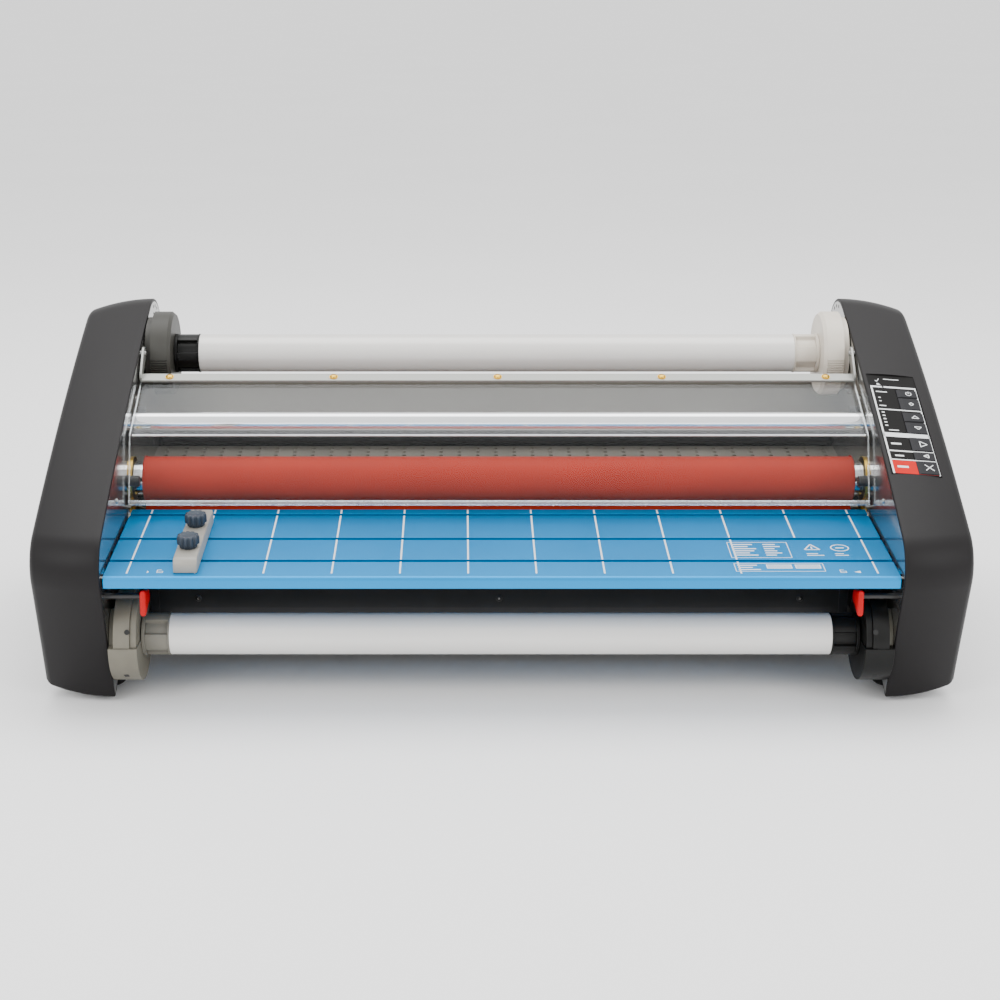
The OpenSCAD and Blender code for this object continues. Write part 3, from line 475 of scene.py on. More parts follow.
def rollers():
    for level, body in (("upper", "upper_nip_roller"), ("lower", "lower_nip_roller")):
        rounded_rod(level + "_roller_sleeve", level + "_nip_rubber", "roller_rubber", body, "roller_rubber",
                    edge=1.2, flat=17.5 * MM)
    x0, x1, y, z, r = axis_of("idler_bar")
    wall = WALL_X - 0.5 * MM
    half = [(0, 9.2 * MM), (wall - 1 * MM, 9.2 * MM), (wall, 8.2 * MM), (wall, 5 * MM), (x1, 5 * MM), (x1, 0)]
    profile = [(-x, rr) for x, rr in reversed(half[1:])] + half[1:]
    piece("idler_rod", *lathe(profile, y, z, 96), "idler", "idler", "idler", replaces=["idler_bar"], angle=30)
    for level in ("upper", "lower"):
        x0, x1, y, z, r = axis_of(level + "_core_tube")
        wall = 3 * MM
        profile = [(x0, r - wall), (x0, r - 0.4 * MM), (x0 + 0.4 * MM, r), (x1 - 0.4 * MM, r), (x1, r - 0.4 * MM),
                   (x1, r - wall), (x0, r - wall)]
        piece(level + "_film_core", *lathe(profile, y, z, 128), "core", level + "_supply", "core",
              replaces=[level + "_core_tube"], angle=30)
        journals(level)


def journals(level):
    """Bronze ring with a lip around each bare roller end."""
    body = "machine"
    x0, x1, y, z, r = axis_of(level + "_nip_rubber")
    for side in (-1, 1):
        inner = WALL_X - 2.5 * MM
        ring = [(inner, 17.7), (inner, 21.6), (inner + 0.8 * MM, 22.4), (WALL_X, 22.4), (WALL_X, 17.7),
                (inner, 17.7)]
        profile = [(side * x, rr * MM) for x, rr in ring]
        piece(f"{level}_bearing_lip_{'right' if side > 0 else 'left'}", *lathe(profile, y, z), "bearing", body,
              "bearing", angle=30)


rollers()


# ---------------------------------------------------------------- supply roll holders
def polar_prism(y, z, radius_at, x0, x1, steps=180, inner=0.0):
    """Prism along X whose outer radius (mm) follows radius_at(degrees)."""
    points = [
        (y + radius_at(a) * MM * cos(radians(a)), z + radius_at(a) * MM * sin(radians(a)))
        for a in (360.0 * i / steps for i in range(steps))
    ]
    return extrude_x(points, x0, x1)


def c_outline(y, z, outer, inner, gap, ribs=None):
    """C shape open to the back: an outer arc, ribbed where asked, and an inner arc."""
    a0 = math.degrees(math.asin(gap / outer))
    b0 = math.degrees(math.asin(min(1, gap / inner)))
    pitch, groove, depth = 3.4, 1.6, 1.5
    spans = [(a0 + (360 - 2 * a0) * i / 120, outer) for i in range(121)]
    if ribs:
        spans = [p for p in spans if not ribs[0] < p[0] < ribs[1]]
        for k in range(int((ribs[1] - ribs[0]) / pitch)):
            a = ribs[0] + pitch * k
            spans += [(a, outer), (a + 0.3, outer - depth), (a + groove, outer - depth), (a + groove + 0.3, outer)]
    spans.sort()
    points = [(y + q * MM * cos(radians(a)), z + q * MM * sin(radians(a))) for a, q in spans]
    for i in range(61):
        b = 360 - b0 - (360 - 2 * b0) * i / 60
        points.append((y + inner * MM * cos(radians(b)), z + inner * MM * sin(radians(b))))
    return points


def c_loft(y, z, levels, inner, gap, ribs=None):
    """C shape whose outer radius changes along X; levels are (x, radius, ribbed or None)."""
    return loft([
        [Vector((x, py, pz)) for py, pz in c_outline(y, z, outer, inner, gap, ribs)] for x, outer in levels
    ])


def sector(y, z, outer, inner, a0, a1):
    """Outline between two radii from one angle to another."""
    rim = circle_points(y, z, outer * MM, a0, a1, 60)
    return rim + circle_points(y, z, inner * MM, a1, a0, 40)


def retainer(level, side, mat):
    """Turning C-shaped retainer: ribbed and chamfered on the upper level, a drum with a raised arm on the lower."""
    sign = 1 if side == "right" else -1
    node = f"{level}_{side}_retainer"
    low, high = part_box(node)
    roll = axis_of(level + "_core_tube")
    y, z = roll[2], roll[3]
    face_x, wall_x = (low.x, high.x) if sign > 0 else (high.x, low.x)
    step_x = face_x + sign * 12.3 * MM
    outer, bore, seat = 44.4, 13.2, 33.6
    body = f"retainer_{level}_{side}"
    if level == "upper":
        ribs = (178, 239)
        chamfer_x, rim_end = face_x + sign * 3.5 * MM, wall_x - sign * 6.5 * MM
        parts = [
            c_loft(y, z, [(face_x, 41.5), (chamfer_x, outer)], bore, bore),
            c_loft(y, z, [(chamfer_x, outer), (step_x, outer)], bore, bore, ribs),
            c_loft(y, z, [(step_x, outer), (rim_end, outer)], seat, bore, ribs),
            c_loft(y, z, [(rim_end, outer - 6), (wall_x, outer - 6)], seat, bore),
        ]
    else:
        split, tip = 179, 18
        arm_face, arm_wall = face_x + sign * 7 * MM, wall_x - sign * 5 * MM
        parts = [
            extrude_x(sector(y, z, outer, bore, split, 360 - tip), face_x, step_x),
            extrude_x(sector(y, z, outer, seat, split, 360 - tip), step_x, wall_x),
            extrude_x(sector(y, z, outer - 0.6, bore, tip, split), arm_face, step_x),
            extrude_x(sector(y, z, outer - 0.6, seat, tip, split), step_x, arm_wall),
            extrude_x(sector(y, z, outer - 3, bore, tip, split), face_x + sign * MM, arm_face),
        ]
        spot_x = face_x + sign * 9 * MM
        # Dark discs on the drum are painted shade standing in for a hole and a window.
        for label, angle, size, at in (("hole", 158, 2.5, spot_x), ("window", 224, 3.2, spot_x + sign * 4 * MM)):
            out = Vector((0, cos(radians(angle)), sin(radians(angle))))
            spot = Vector((at, y, z)) + out * ((outer - 0.75) * MM)
            steps = 4 if label == "window" else 24
            piece(f"{node}_{label}", *disc(spot, out, size * MM, 0.9 * MM, steps), "dark_hole", body, mat)
    piece(node + "_body", *merge(parts), mat, body, mat, replaces=[node], bevel=0.4, segments=2, angle=32)


def saddle(level, side, mat, node):
    """Fixed U seat behind the retainer."""
    sign = 1 if side == "right" else -1
    roll = axis_of(level + "_core_tube")
    y, z = roll[2], roll[3]
    x0, x1 = sign * (WALL_X - 13.9 * MM), sign * (WALL_X - 0.05 * MM)
    steps = 72
    outer, inner = 32.8, 12.2
    a0 = 90 + math.degrees(math.asin(inner / outer))
    points = circle_points(y, z, outer * MM, a0, a0 + 360 - 2 * (a0 - 90), steps)
    points += circle_points(y, z, inner * MM, 0, -180, 36)
    piece(f"{level}_{side}_saddle", *extrude_x(points, x0, x1), mat, "machine", mat, replaces=[node], bevel=0.6)


def core_end(level, side, mat, turn):
    """Core plug's visible neck: flange, recessed windows and journal."""
    sign = 1 if side == "right" else -1
    node = f"{level}_{side}_core_end"
    low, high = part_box(node)
    roll = axis_of(level + "_core_tube")
    y, z = roll[2], roll[3]
    core_x = sign * roll[1]
    end_x = high.x if sign > 0 else low.x
    neck_x = sign * (abs(end_x) - 28.2 * MM)

    def windowed(a):
        local = (a - turn) % 90
        return 16.4 if local < 40 else 20.2

    parts = [
        lathe([(core_x - sign * 17 * MM, 0), (core_x - sign * 17 * MM, 16.9 * MM), (core_x, 16.9 * MM),
               (core_x, 0)], y, z),
        polar_prism(y, z, lambda a: 20.7, core_x, core_x + sign * 1.6 * MM),
        polar_prism(y, z, windowed, core_x + sign * 1.6 * MM, neck_x - sign * 3.2 * MM),
        polar_prism(y, z, lambda a: 20.7, neck_x - sign * 3.2 * MM, neck_x),
        lathe([(neck_x, 0), (neck_x, 12 * MM), (end_x - sign * MM, 12 * MM), (end_x, 11 * MM), (end_x, 0)], y, z),
    ]
    piece(node + "_neck", *merge(parts), mat, level + "_supply", mat, replaces=[node], bevel=0.5, angle=35)


def holders():
    retainer("upper", "left", "holder_dark")
    retainer("upper", "right", "holder_cream")
    retainer("lower", "left", "holder_grey")
    retainer("lower", "right", "holder_black")
    for side in ("left", "right"):
        saddle("upper", side, "holder_dark", "upper_saddles")
        saddle("lower", side, "holder_grey", "lower_saddles")
    core_end("upper", "left", "holder_black", 128)
    core_end("upper", "right", "holder_cream", 198)
    core_end("lower", "left", "core_end_grey", 122)
    core_end("lower", "right", "holder_black", 158)


holders()


# ---------------------------------------------------------------- clear shield
def unit(a, b):
    d = Vector((b[0] - a[0], b[1] - a[1]))
    return d.normalized()


def shield_points():
    """The pane's outer line in the YZ plane: bar end, bend and lip, given as offsets from the machine's front."""
    low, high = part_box("shield_pane")
    y0 = FRONT_Y
    return (y0 + 0.266, 0.2733), (y0 + 0.176, 0.233), (y0 + 0.153, 0.169)


def offset_line(points, d):
    """Moves an open line sideways by d, with mitred joints."""
    out = []
    for i, p in enumerate(points):
        before = unit(points[max(0, i - 1)], points[max(1, i)])
        after = unit(points[min(i, len(points) - 2)], points[min(i + 1, len(points) - 1)])
        n0, n1 = Vector((-before.y, before.x)), Vector((-after.y, after.x))
        n = (n0 + n1).normalized()
        out.append((p[0] + n.x * d / max(0.3, n.dot(n0)), p[1] + n.y * d / max(0.3, n.dot(n0))))
    return out


def shield():
    bar, bend, lip = shield_points()
    top, low = unit(bend, bar), unit(bend, lip)
    radius = 7 * MM
    half = math.acos(max(-1, min(1, top.dot(low)))) / 2
    run = radius / math.tan(half)
    centre_dir = (top + low).normalized()
    centre = (bend[0] + centre_dir.x * radius / sin(half), bend[1] + centre_dir.y * radius / sin(half))
    p_top = (bend[0] + top.x * run, bend[1] + top.y * run)
    p_low = (bend[0] + low.x * run, bend[1] + low.y * run)
    a0 = math.degrees(math.atan2(p_top[1] - centre[1], p_top[0] - centre[0]))
    a1 = math.degrees(math.atan2(p_low[1] - centre[1], p_low[0] - centre[0]))
    if a1 < a0 - 180:
        a1 += 360
    arc = circle_points(*centre, radius, a0, a1, 12)
    outer = [bar] + arc + [lip]
    inner = offset_line(outer, 2.4 * MM)
    half_w = WALL_X - 2.0 * MM
    edge = 1.5 * MM
    skin = outer + inner[::-1]
    # The glint strip sits inside the bend: a more opaque mirror film painted as the bend's bright highlight line.
    glint = offset_line(arc, 0.2 * MM)[4:9] + offset_line(arc, 0.9 * MM)[4:9][::-1]
    piece("shield_bend_highlight", *extrude_x(glint, -half_w + 2 * edge, half_w - 2 * edge), "pane_bend", "shield", "pane",
          angle=40)
    piece("shield_sheet", *extrude_x(skin, -half_w + edge, half_w - edge), "pane", "shield", "pane",
          replaces=["shield_pane"], angle=40)
    # The side strips and the lip take the less clear edge film, partly painted highlight.
    for side in (-1, 1):
        x0, x1 = side * (half_w - edge), side * half_w
        name = "shield_edge_right" if side > 0 else "shield_edge_left"
        piece(name, *extrude_x(skin, x0, x1), "pane_edge", "shield", "pane", bevel=0.4, angle=40)
    inward = Vector((-low.y, low.x))
    lip_c = (lip[0] + inward.x * 2.9 * MM, lip[1] + inward.y * 2.9 * MM)
    roll = circle_points(*lip_c, 2.9 * MM, 0, 345, 23)
    piece("shield_lip", *extrude_x(roll, -half_w, half_w), "pane_edge", "shield", "pane", angle=60)
    shield_bar(bar, top)
    return lip


def shield_bar(bar, top):
    """Anodised bar with two arms and turned hinge pins, and five domed rivets."""
    up = Vector((-top.y, top.x))
    hinge = Vector(joint("shield_lift")["pos_m"])
    t = 3.0 * MM
    front = (bar[0] - top.x * 11.8 * MM, bar[1] - top.y * 11.8 * MM)
    half_w = WALL_X - 2.2 * MM
    points = [bar, (bar[0] + up.x * t, bar[1] + up.y * t), (front[0] + up.x * t, front[1] + up.y * t), front]
    parts = [extrude_x(points, -half_w, half_w)]
    piece("shield_rail", *merge(parts), "bar", "shield", "bar", replaces=["shield_bar"], bevel=0.6)
    foot = (bar[0] + up.x * 4.5 * MM - top.x * 7 * MM, bar[1] + up.y * 4.5 * MM - top.y * 7 * MM)
    along = Vector((hinge.y - foot[0], hinge.z - foot[1]))
    turn = math.degrees(math.atan2(along.y, along.x))
    arm = circle_points(hinge.y, hinge.z, 6.9 * MM, turn - 90, turn + 90, 20)
    arm += circle_points(*foot, 4.4 * MM, turn + 90, turn + 270, 20)
    for side in (-1, 1):
        word = "right" if side > 0 else "left"
        x0, x1 = side * (WALL_X - 4.0 * MM), side * (WALL_X - 1.6 * MM)
        piece("shield_arm_" + word, *extrude_x(arm, x0, x1), "bar", "shield", "bar", bevel=0.4)
        pin = lathe([(side * (WALL_X - 5.4 * MM), 0), (side * (WALL_X - 5.4 * MM), 2.2 * MM),
                     (side * (WALL_X - 4.8 * MM), 2.9 * MM), (side * (WALL_X + 5 * MM), 2.9 * MM),
                     (side * (WALL_X + 5 * MM), 0)], hinge.y, hinge.z, 32)
        piece("shield_hinge_pin_" + word, *pin, "screw", "shield", "bar", angle=30)
    normal = Vector((0, up.x, up.y))
    seat = Vector((0, (bar[0] + front[0]) / 2, (bar[1] + front[1]) / 2)) + normal * t
    low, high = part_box("shield_rivets")
    count = 5
    for i in range(count):
        x = low.x + 3.5 * MM + (high.x - low.x - 7 * MM) * i / (count - 1)
        spot = seat + Vector((x, 0, 0))
        parts = [disc(spot, normal, 4.4 * MM, 0.5 * MM, 32), disc(spot, normal, 3.8 * MM, 0.6 * MM, 32, 1.7 * MM)]
        piece(f"shield_rivet_{i + 1}", *merge(parts), "rivet", "shield", "rivet", replaces=["shield_rivets"],
              angle=50)


shield()


# ---------------------------------------------------------------- feed table, guide and knobs
SLOTS = (39.4, 92.9, 155.0)
TABLE_FRONT = (Vector(joint("front_knob_turn")["pos_m"]) - NIP).dot(PATH_T) / MM - SLOTS[0]
TABLE_BACK = -26.0
GRID = 63.65


def table_outline():
    """Section of the table in (t, n): round front, plate and rear skirt. The slots are cut as channels; the dark
    strips laid in them are painted shade.
    """
    f = TABLE_FRONT
    front = [(f + 4 + 4 * cos(radians(a)), -4 + 4 * sin(radians(a))) for a in range(90, 181, 9)]
    lower = [(f, -11.2), (f + 0.5, -11.6), (f + 2.6, -11.6), (f + 3, -11.2), (f + 3, -6), (f + 5, -3.2)]
    channels = []
    for s in SLOTS:
        m = f + s
        channels += [(m - 8.4, -3.2), (m - 8.4, -10.3), (m + 8.4, -10.3), (m + 8.4, -3.2)]
    rear = [(TABLE_BACK - 3, -3.2), (TABLE_BACK - 3, -9), (TABLE_BACK, -9), (TABLE_BACK, 0)]
    top = []
    for s in reversed(SLOTS):
        m = f + s
        top += [(m + 2.6, 0), (m + 2.6, -3.2), (m + 6.2, -3.2), (m + 6.2, -7.8),
                (m - 6.2, -7.8), (m - 6.2, -3.2), (m - 2.6, -3.2), (m - 2.6, 0)]
    return front + lower + channels + rear + top


def table():
    half = WALL_X - 2.05 * MM
    rings = [[on_path(x, t, n) for t, n in table_outline()] for x in (-half, half)]
    piece("table_extrusion", *loft(rings), "table", "table", "table", replaces=["feed_table"], bevel=0.25,
          segments=2, angle=35)
    for i, s in enumerate(SLOTS):
        m = TABLE_FRONT + s
        # A dark strip in each slot is painted shade for the slot's inside.
        strip = path_slab(-half + MM, half - MM, m - 6, m + 6, -7.7, -7.2)
        piece(f"table_slot_painted_shade_{i + 1}", *strip, "slot_dark", "table", "table")
    printed_grid(half)
    printed_labels()


def print_on_table(name, parts, mat="print_white"):
    piece(name, *merge(parts), mat, "table", "table", smooth=False)


def mark(x0, x1, t0, t1):
    """Thin printed patch; x and t in millimetres, t from the table's front edge."""
    return path_slab(x0 * MM, x1 * MM, TABLE_FRONT + t0, TABLE_FRONT + t1, 0.0, 0.06)


def printed_grid(half):
    bays = [(9.5, SLOTS[0] - 2.8), (SLOTS[0] + 2.8, SLOTS[1] - 2.8), (SLOTS[1] + 2.8, SLOTS[2] - 2.8),
            (SLOTS[2] + 2.8, TABLE_BACK - TABLE_FRONT - 1)]
    lines = []
    for i in range(12):
        x = -349.5 + GRID * i
        for k, (t0, t1) in enumerate(bays):
            if i == 10 and k < 2:
                continue
            lines.append(mark(x - 0.8, x + 0.8, t0, t1))
    print_on_table("table_grid_lines", lines)


def frame_marks(x0, x1, t0, t1, w=0.7):
    return [mark(x0, x1, t0, t0 + w), mark(x0, x1, t1 - w, t1), mark(x0, x0 + w, t0, t1), mark(x1 - w, x1, t0, t1)]


def bars(x0, x1, t0, t1, rows, fill=(0.9, 0.6, 0.8)):
    """Rows of plain bars in place of printed words."""
    out = []
    pitch = (t1 - t0) / rows
    for r in range(rows):
        length = (x1 - x0) * fill[r % len(fill)]
        out.append(mark(x0, x0 + length, t0 + pitch * (r + 0.3), t0 + pitch * (r + 0.68)))
    return out


def printed_labels():
    parts = frame_marks(219, 277, 46, 84) + bars(223, 248, 50, 81, 6) + bars(253, 273, 50, 81, 6, (0.5, 0.8, 0.6))
    parts += frame_marks(219, 303, 14, 33)
    parts += bars(222, 245, 16, 31, 3) + [mark(249, 273, 21, 30), mark(276, 300, 21, 30)]
    parts += bars(292, 310, 50, 58, 2) + bars(319, 333, 50, 58, 2)
    print_on_table("table_label_marks", parts)
    print_on_table("table_label_gaps", [
        path_slab(x * MM, (x + 22) * MM, TABLE_FRONT + t, TABLE_FRONT + t + 0.8, 0.05, 0.12)
        for x in (250, 277) for t in (23, 25.4, 27.8)
    ], "table")
    icons = []
    icons += triangle_ring(299, 70, 8.5)
    icons += round_ring(326, 70, 8.5) + [mark(322, 330, 69, 71)]
    print_on_table("table_icons", icons)
    marks = []
    for side in (-1, 1):
        cx = side * 319
        marks += frame_marks(cx - 3, cx + 3, 11, 15, 0.8)
        marks += [mark(cx - 3, cx - 2.2, 15, 18), mark(cx - 3, cx + 1, 17.4, 18.2)]
        ax = side * 333
        tip = [on_path((ax - 4 * side) * MM, TABLE_FRONT + 13, 0.06), on_path((ax + 2) * MM, TABLE_FRONT + 15.6, 0.06),
               on_path((ax + 2) * MM, TABLE_FRONT + 10.4, 0.06)]
        marks.append(loft([tip, [p - PATH_N * 0.06 * MM for p in tip]]))
    print_on_table("table_lock_marks", marks)


def triangle_ring(x, t, r):
    out = []
    corners = [(x + r * cos(radians(a)), t + r * sin(radians(a))) for a in (90, 210, 330)]
    for i in range(3):
        out.append(stroke(corners[i], corners[(i + 1) % 3], 1.4, on_table))
    out.append(mark(x - 0.7, x + 0.7, t - 2.5, t + 3))
    return out


def round_ring(x, t, r, steps=20):
    points = [(x + r * cos(2 * math.pi * i / steps), t + r * 0.9 * sin(2 * math.pi * i / steps)) for i in range(steps)]
    return [stroke(points[i], points[(i + 1) % steps], 1.2, on_table) for i in range(steps)]


def on_table(x, t, n):
    return on_path(x * MM, TABLE_FRONT + t, n)


def stroke(a, b, width, place, high=0.06):
    """Thin bar between two points of a flat layout."""
    dx, dy = b[0] - a[0], b[1] - a[1]
    length = math.hypot(dx, dy) or 1
    ox, oy = -dy / length * width / 2, dx / length * width / 2
    corners = [place(a[0] + ox, a[1] + oy, high), place(b[0] + ox, b[1] + oy, high),
               place(b[0] - ox, b[1] - oy, high), place(a[0] - ox, a[1] - oy, high)]
    below = place(a[0], a[1], 0) - place(a[0], a[1], high)
    return slab(corners, below)


def edge_guide():
    x0, x1 = GUIDE_LOW.x, GUIDE_HIGH.x
    t0, t1 = TABLE_FRONT + 9.5, TABLE_FRONT + 134.9
    h, base, r = 13.9, 0.35, 8.0
    points = [(t1, base), (t1, h - 1.2), (t1 - 1.2, h)]
    points += [(t0 + r + r * cos(radians(a)), h - r + r * sin(radians(a))) for a in range(90, 181, 10)]
    points += [(t0, base)]
    rings = []
    for x, shrink in ((x0, 0.9), (x0 + 0.9 * MM, 0.0), (x1 - 0.9 * MM, 0.0), (x1, 0.9)):
        rings.append([on_path(x, t + (shrink if t < t1 - 20 else -shrink), min(n, h - shrink)) for t, n in points])
    piece("edge_guide_body", *loft(rings), "guide", "guide", "guide", replaces=["edge_guide"], angle=50, bevel=0.3)
    mid = (x0 + x1) / 2
    for i, s in enumerate(SLOTS[:2]):
        seat = on_path(mid, TABLE_FRONT + s, h)
        piece(f"edge_guide_boss_{i + 1}", *disc(seat - PATH_N * MM, PATH_N, 10.4 * MM, 1.2 * MM, 40), "guide",
              "guide", "guide", bevel=0.2)
        knob("front" if i == 0 else "rear", mid, s)


def knob(word, x, s):
    """Eleven-lobed clamp knob with a waist, a rounded top edge and a slightly dished top."""
    node = word + "_knob"
    flutes = 11

    def ring(n, scale, depth=1.0):
        points = []
        for i in range(132):
            a = 2 * math.pi * i / 132
            r = (10.72 - depth * 2.1 * (0.5 - 0.5 * cos(a * flutes)) ** 1.6) * scale
            points.append(on_path(x + r * cos(a) * MM, TABLE_FRONT + s + r * sin(a), n))
        return points

    base, top = 14.4, 26.6
    rings = [ring(base, 0.72, 0.2), ring(base + 0.4, 0.78, 0.3), ring(base + 2.4, 0.8, 0.4),
             ring(base + 3.6, 0.97), ring(base + 4.2, 1.0), ring(top - 2.2, 1.0), ring(top - 1.1, 0.975, 0.95),
             ring(top - 0.35, 0.92, 0.85), ring(top, 0.84, 0.7), ring(top - 0.1, 0.7, 0.4),
             ring(top - 0.5, 0.62, 0.1), ring(top - 0.6, 0.3, 0.0)]
    parts = [loft(rings), disc(on_path(x, TABLE_FRONT + s, -4), PATH_N, 2 * MM, 18.4 * MM, 20),
             disc(on_path(x, TABLE_FRONT + s, -6.9), PATH_N, 5.4 * MM, 2.9 * MM, 24)]
    piece(node + "_head", *merge(parts), "knob", "knob_" + word, "knob", replaces=[node], angle=55)


table()
edge_guide()


# ---------------------------------------------------------------- latches, posts, front and rear sheets
def latches():
    """Red leaf levers, thickest along the middle, with a rounded front edge."""
    for side in ("left", "right"):
        node = side + "_latch"
        low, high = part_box(node)
        hub = Vector(joint(side + "_latch_turn")["pos_m"])
        x = (low.x + high.x) / 2
        tip_r = 2.4 * MM
        high_tip = (hub.y - 17.5 * MM, high.z - tip_r)
        low_tip = (hub.y - 19 * MM, low.z + tip_r)
        points = circle_points(hub.y, hub.z, 6.9 * MM, -120, 75, 16)
        points += circle_points(*high_tip, tip_r, 75, 172, 8)
        points += circle_points(*low_tip, tip_r, 172, 240, 8)
        centre = (sum(p[0] for p in points) / len(points), sum(p[1] for p in points) / len(points))
        rings = []
        for dx, s in ((-2.9, 0.8), (-2.5, 0.9), (-1.6, 0.97), (0, 1.0), (1.6, 0.97), (2.5, 0.9), (2.9, 0.8)):
            rings.append([Vector((x + dx * MM, centre[0] + (y - centre[0]) * s, centre[1] + (z - centre[1]) * s))
                          for y, z in points])
        piece(side + "_latch_leaf", *loft(rings), "latch", "latch_" + side, "latch", replaces=[node], angle=60)


def posts():
    """Shield rest posts with a collar, interlock stubs, latch pins and small screws on the walls."""
    y0 = FRONT_Y
    for side in (-1, 1):
        word = "right" if side > 0 else "left"
        wall = WALL_X - 0.05 * MM

        def turned(label, radius, length, y, z, mat="post", collar=0.0):
            end = wall - length * MM
            profile = [(end, 0), (end, (radius - 0.8) * MM), (end + 0.8 * MM, radius * MM)]
            if collar:
                profile += [(wall - 1.3 * MM, radius * MM), (wall - 1.1 * MM, collar * MM), (wall, collar * MM)]
            else:
                profile += [(wall, radius * MM)]
            profile.append((wall, 0))
            parts = lathe([(side * x, r) for x, r in profile], y, z, 40)
            extra = {"replaces": ["wall_posts"]} if label == "shield_post" else {}
            piece(f"{label}_{word}", *parts, mat, "machine", "post", angle=35, **extra)

        turned("shield_post", 5.5, 12, y0 + 0.1688, 0.187, collar=6.5)
        turned("interlock_stub", 4, 6, y0 + 0.257, 0.239)
        turned("latch_pin", 2.9, 41, y0 + 0.024, 0.116)
        for i, (y, z) in enumerate(((0.045, 0.118), (0.052, 0.05), (0.12, 0.075), (0.3, 0.06), (0.24, 0.255),
                                    (0.395, 0.235), (0.105, 0.185))):
            turned(f"wall_screw_{i + 1}", 2.6, 1.2, y0 + y, z, "screw")


def front_panel():
    low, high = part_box("front_panel")
    edge = 0.3 * MM
    corners = [(low.x + edge, low.z), (high.x - edge, low.z), (high.x - edge, high.z), (low.x + edge, high.z)]
    parts = [loft([[Vector((x, y, z)) for x, z in corners] for y in (low.y, high.y)])]
    for x in (low.x + 9 * MM, high.x - 9 * MM):
        sign = 1 if x < 0 else -1
        flange = [(x - sign * 9 * MM, low.z), (x, low.z), (x, high.z), (x - sign * 9 * MM, high.z)]
        parts.append(loft([[Vector((a, y, b)) for a, b in flange] for y in (low.y - 1.2 * MM, low.y)]))
    piece("front_panel_sheet", *merge(parts), "front_panel", "machine", "front_panel", replaces=["front_panel"],
          bevel=0.3)
    out = Vector((0, -1, 0))
    for i, (x, z) in enumerate(((0.0, 0.078), (-0.3, 0.078), (0.3, 0.078))):
        spot = Vector((x, low.y, z))
        piece(f"front_panel_screw_{i + 1}", *disc(spot, out, 3.4 * MM, 0.7 * MM, 28, 0.9 * MM), "post", "machine",
              "front_panel", angle=50)
        piece(f"front_panel_screw_slot_{i + 1}", *disc(spot + out * 1.55 * MM, out, 1.2 * MM, 0.12 * MM, 6),
              "screw", "machine", "front_panel")


def cooling_plate():
    """Perforated plate: bored columns and rows with countersunk rims, above the CAD plate's place."""
    low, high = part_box("cooling_plate")
    t0, t1 = 28.5, 161.0
    step, row, radius = 20.0, 10.5, 2.5
    half = WALL_X / MM
    columns = int((half - 12) // step)
    steps = 20
    verts, faces = [], []

    def add(x, t, n):
        verts.append(on_path(x * MM, t, n))
        return len(verts) - 1

    rows = 3
    first = t1 - 8 - row * (rows - 1) - row / 2
    cells = [(i * step, t1 - 8 - k * row) for i in range(-columns, columns + 1) for k in range(rows)]
    for cx, ct in cells:
        hole = [add(cx + radius * cos(2 * math.pi * (i + 0.5) / steps), ct + radius * sin(2 * math.pi * (i + 0.5) / steps),
                    0) for i in range(steps)]
        wall = [add(cx + radius * 0.92 * cos(2 * math.pi * (i + 0.5) / steps),
                    ct + radius * 0.92 * sin(2 * math.pi * (i + 0.5) / steps), -2.9) for i in range(steps)]
        rim = []
        for i in range(steps):
            a = 2 * math.pi * (i + 0.5) / steps
            k = min(step / 2 / max(1e-6, abs(cos(a))), row / 2 / max(1e-6, abs(sin(a))))
            rim.append(add(cx + k * cos(a), ct + k * sin(a), 0))
        for i in range(steps):
            j = (i + 1) % steps
            faces.append([rim[i], rim[j], hole[j], hole[i]])
            faces.append([hole[i], hole[j], wall[j], wall[i]])
        for sx in (-1, 1):
            for st in (-1, 1):
                corner = add(cx + sx * step / 2, ct + st * row / 2, 0)
                ring = [i for i in range(steps)
                        if sx * cos(2 * math.pi * (i + 0.5) / steps) > 0 and st * sin(2 * math.pi * (i + 0.5) / steps) > 0]
                pairs = [(i, (i + 1) % steps) for i in ring if (i + 1) % steps in ring]
                for i, j in pairs:
                    a, b = verts[rim[i]], verts[rim[j]]
                    on_x = abs(abs(a.x - cx * MM) - step / 2 * MM) < 1e-7
                    on_x_b = abs(abs(b.x - cx * MM) - step / 2 * MM) < 1e-7
                    if on_x != on_x_b:
                        faces.append([rim[i], corner, rim[j]])
    x_edge = (columns + 0.5) * step
    plain = [(-half, half, t0, first), (-half, half, t1 - 8 + row / 2, t1),
             (-half, -x_edge, first, t1 - 8 + row / 2), (x_edge, half, first, t1 - 8 + row / 2)]
    for x0, x1, a, b in plain:
        faces.append([add(x0, a, 0), add(x1, a, 0), add(x1, b, 0), add(x0, b, 0)])
    parts = [(verts, faces)]
    parts.append(path_slab(-half * MM, half * MM, t0, t0 + 1.5, -3, -0.02))
    parts.append(path_slab(-half * MM, half * MM, t1 - 1.5, t1, -3, -0.02))
    piece("perforated_plate", *merge(parts), "plate", "machine", "plate", replaces=["cooling_plate"], smooth=False)


def feet():
    low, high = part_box("feet")
    r = 20 * MM
    for side in (-1, 1):
        for word, y in (("front", low.y + r), ("rear", high.y - r)):
            x = side * (high.x - r)
            rings = []
            for z, s in ((0.0, 0.86), (0.8, 0.9), (2.2, 0.93), (6, 0.95), (14, 0.99), (19, 1.0), (21.2, 1.0),
                         (22, 0.965)):
                rings.append([Vector((x + r * s * cos(a), y + r * s * sin(a), z * MM))
                              for a in (2 * math.pi * i / 48 for i in range(48))])
            piece(f"foot_{word}_{'right' if side > 0 else 'left'}", *loft(rings), "foot", "machine", "foot",
                  replaces=["feet"], angle=50)


latches()
posts()
front_panel()
cooling_plate()
feet()


# ---------------------------------------------------------------- control panel
# Buttons: node, icon, and the print around them, all in panel millimetres
def on_face(u, v, n):
    return on_panel(u, v, n)


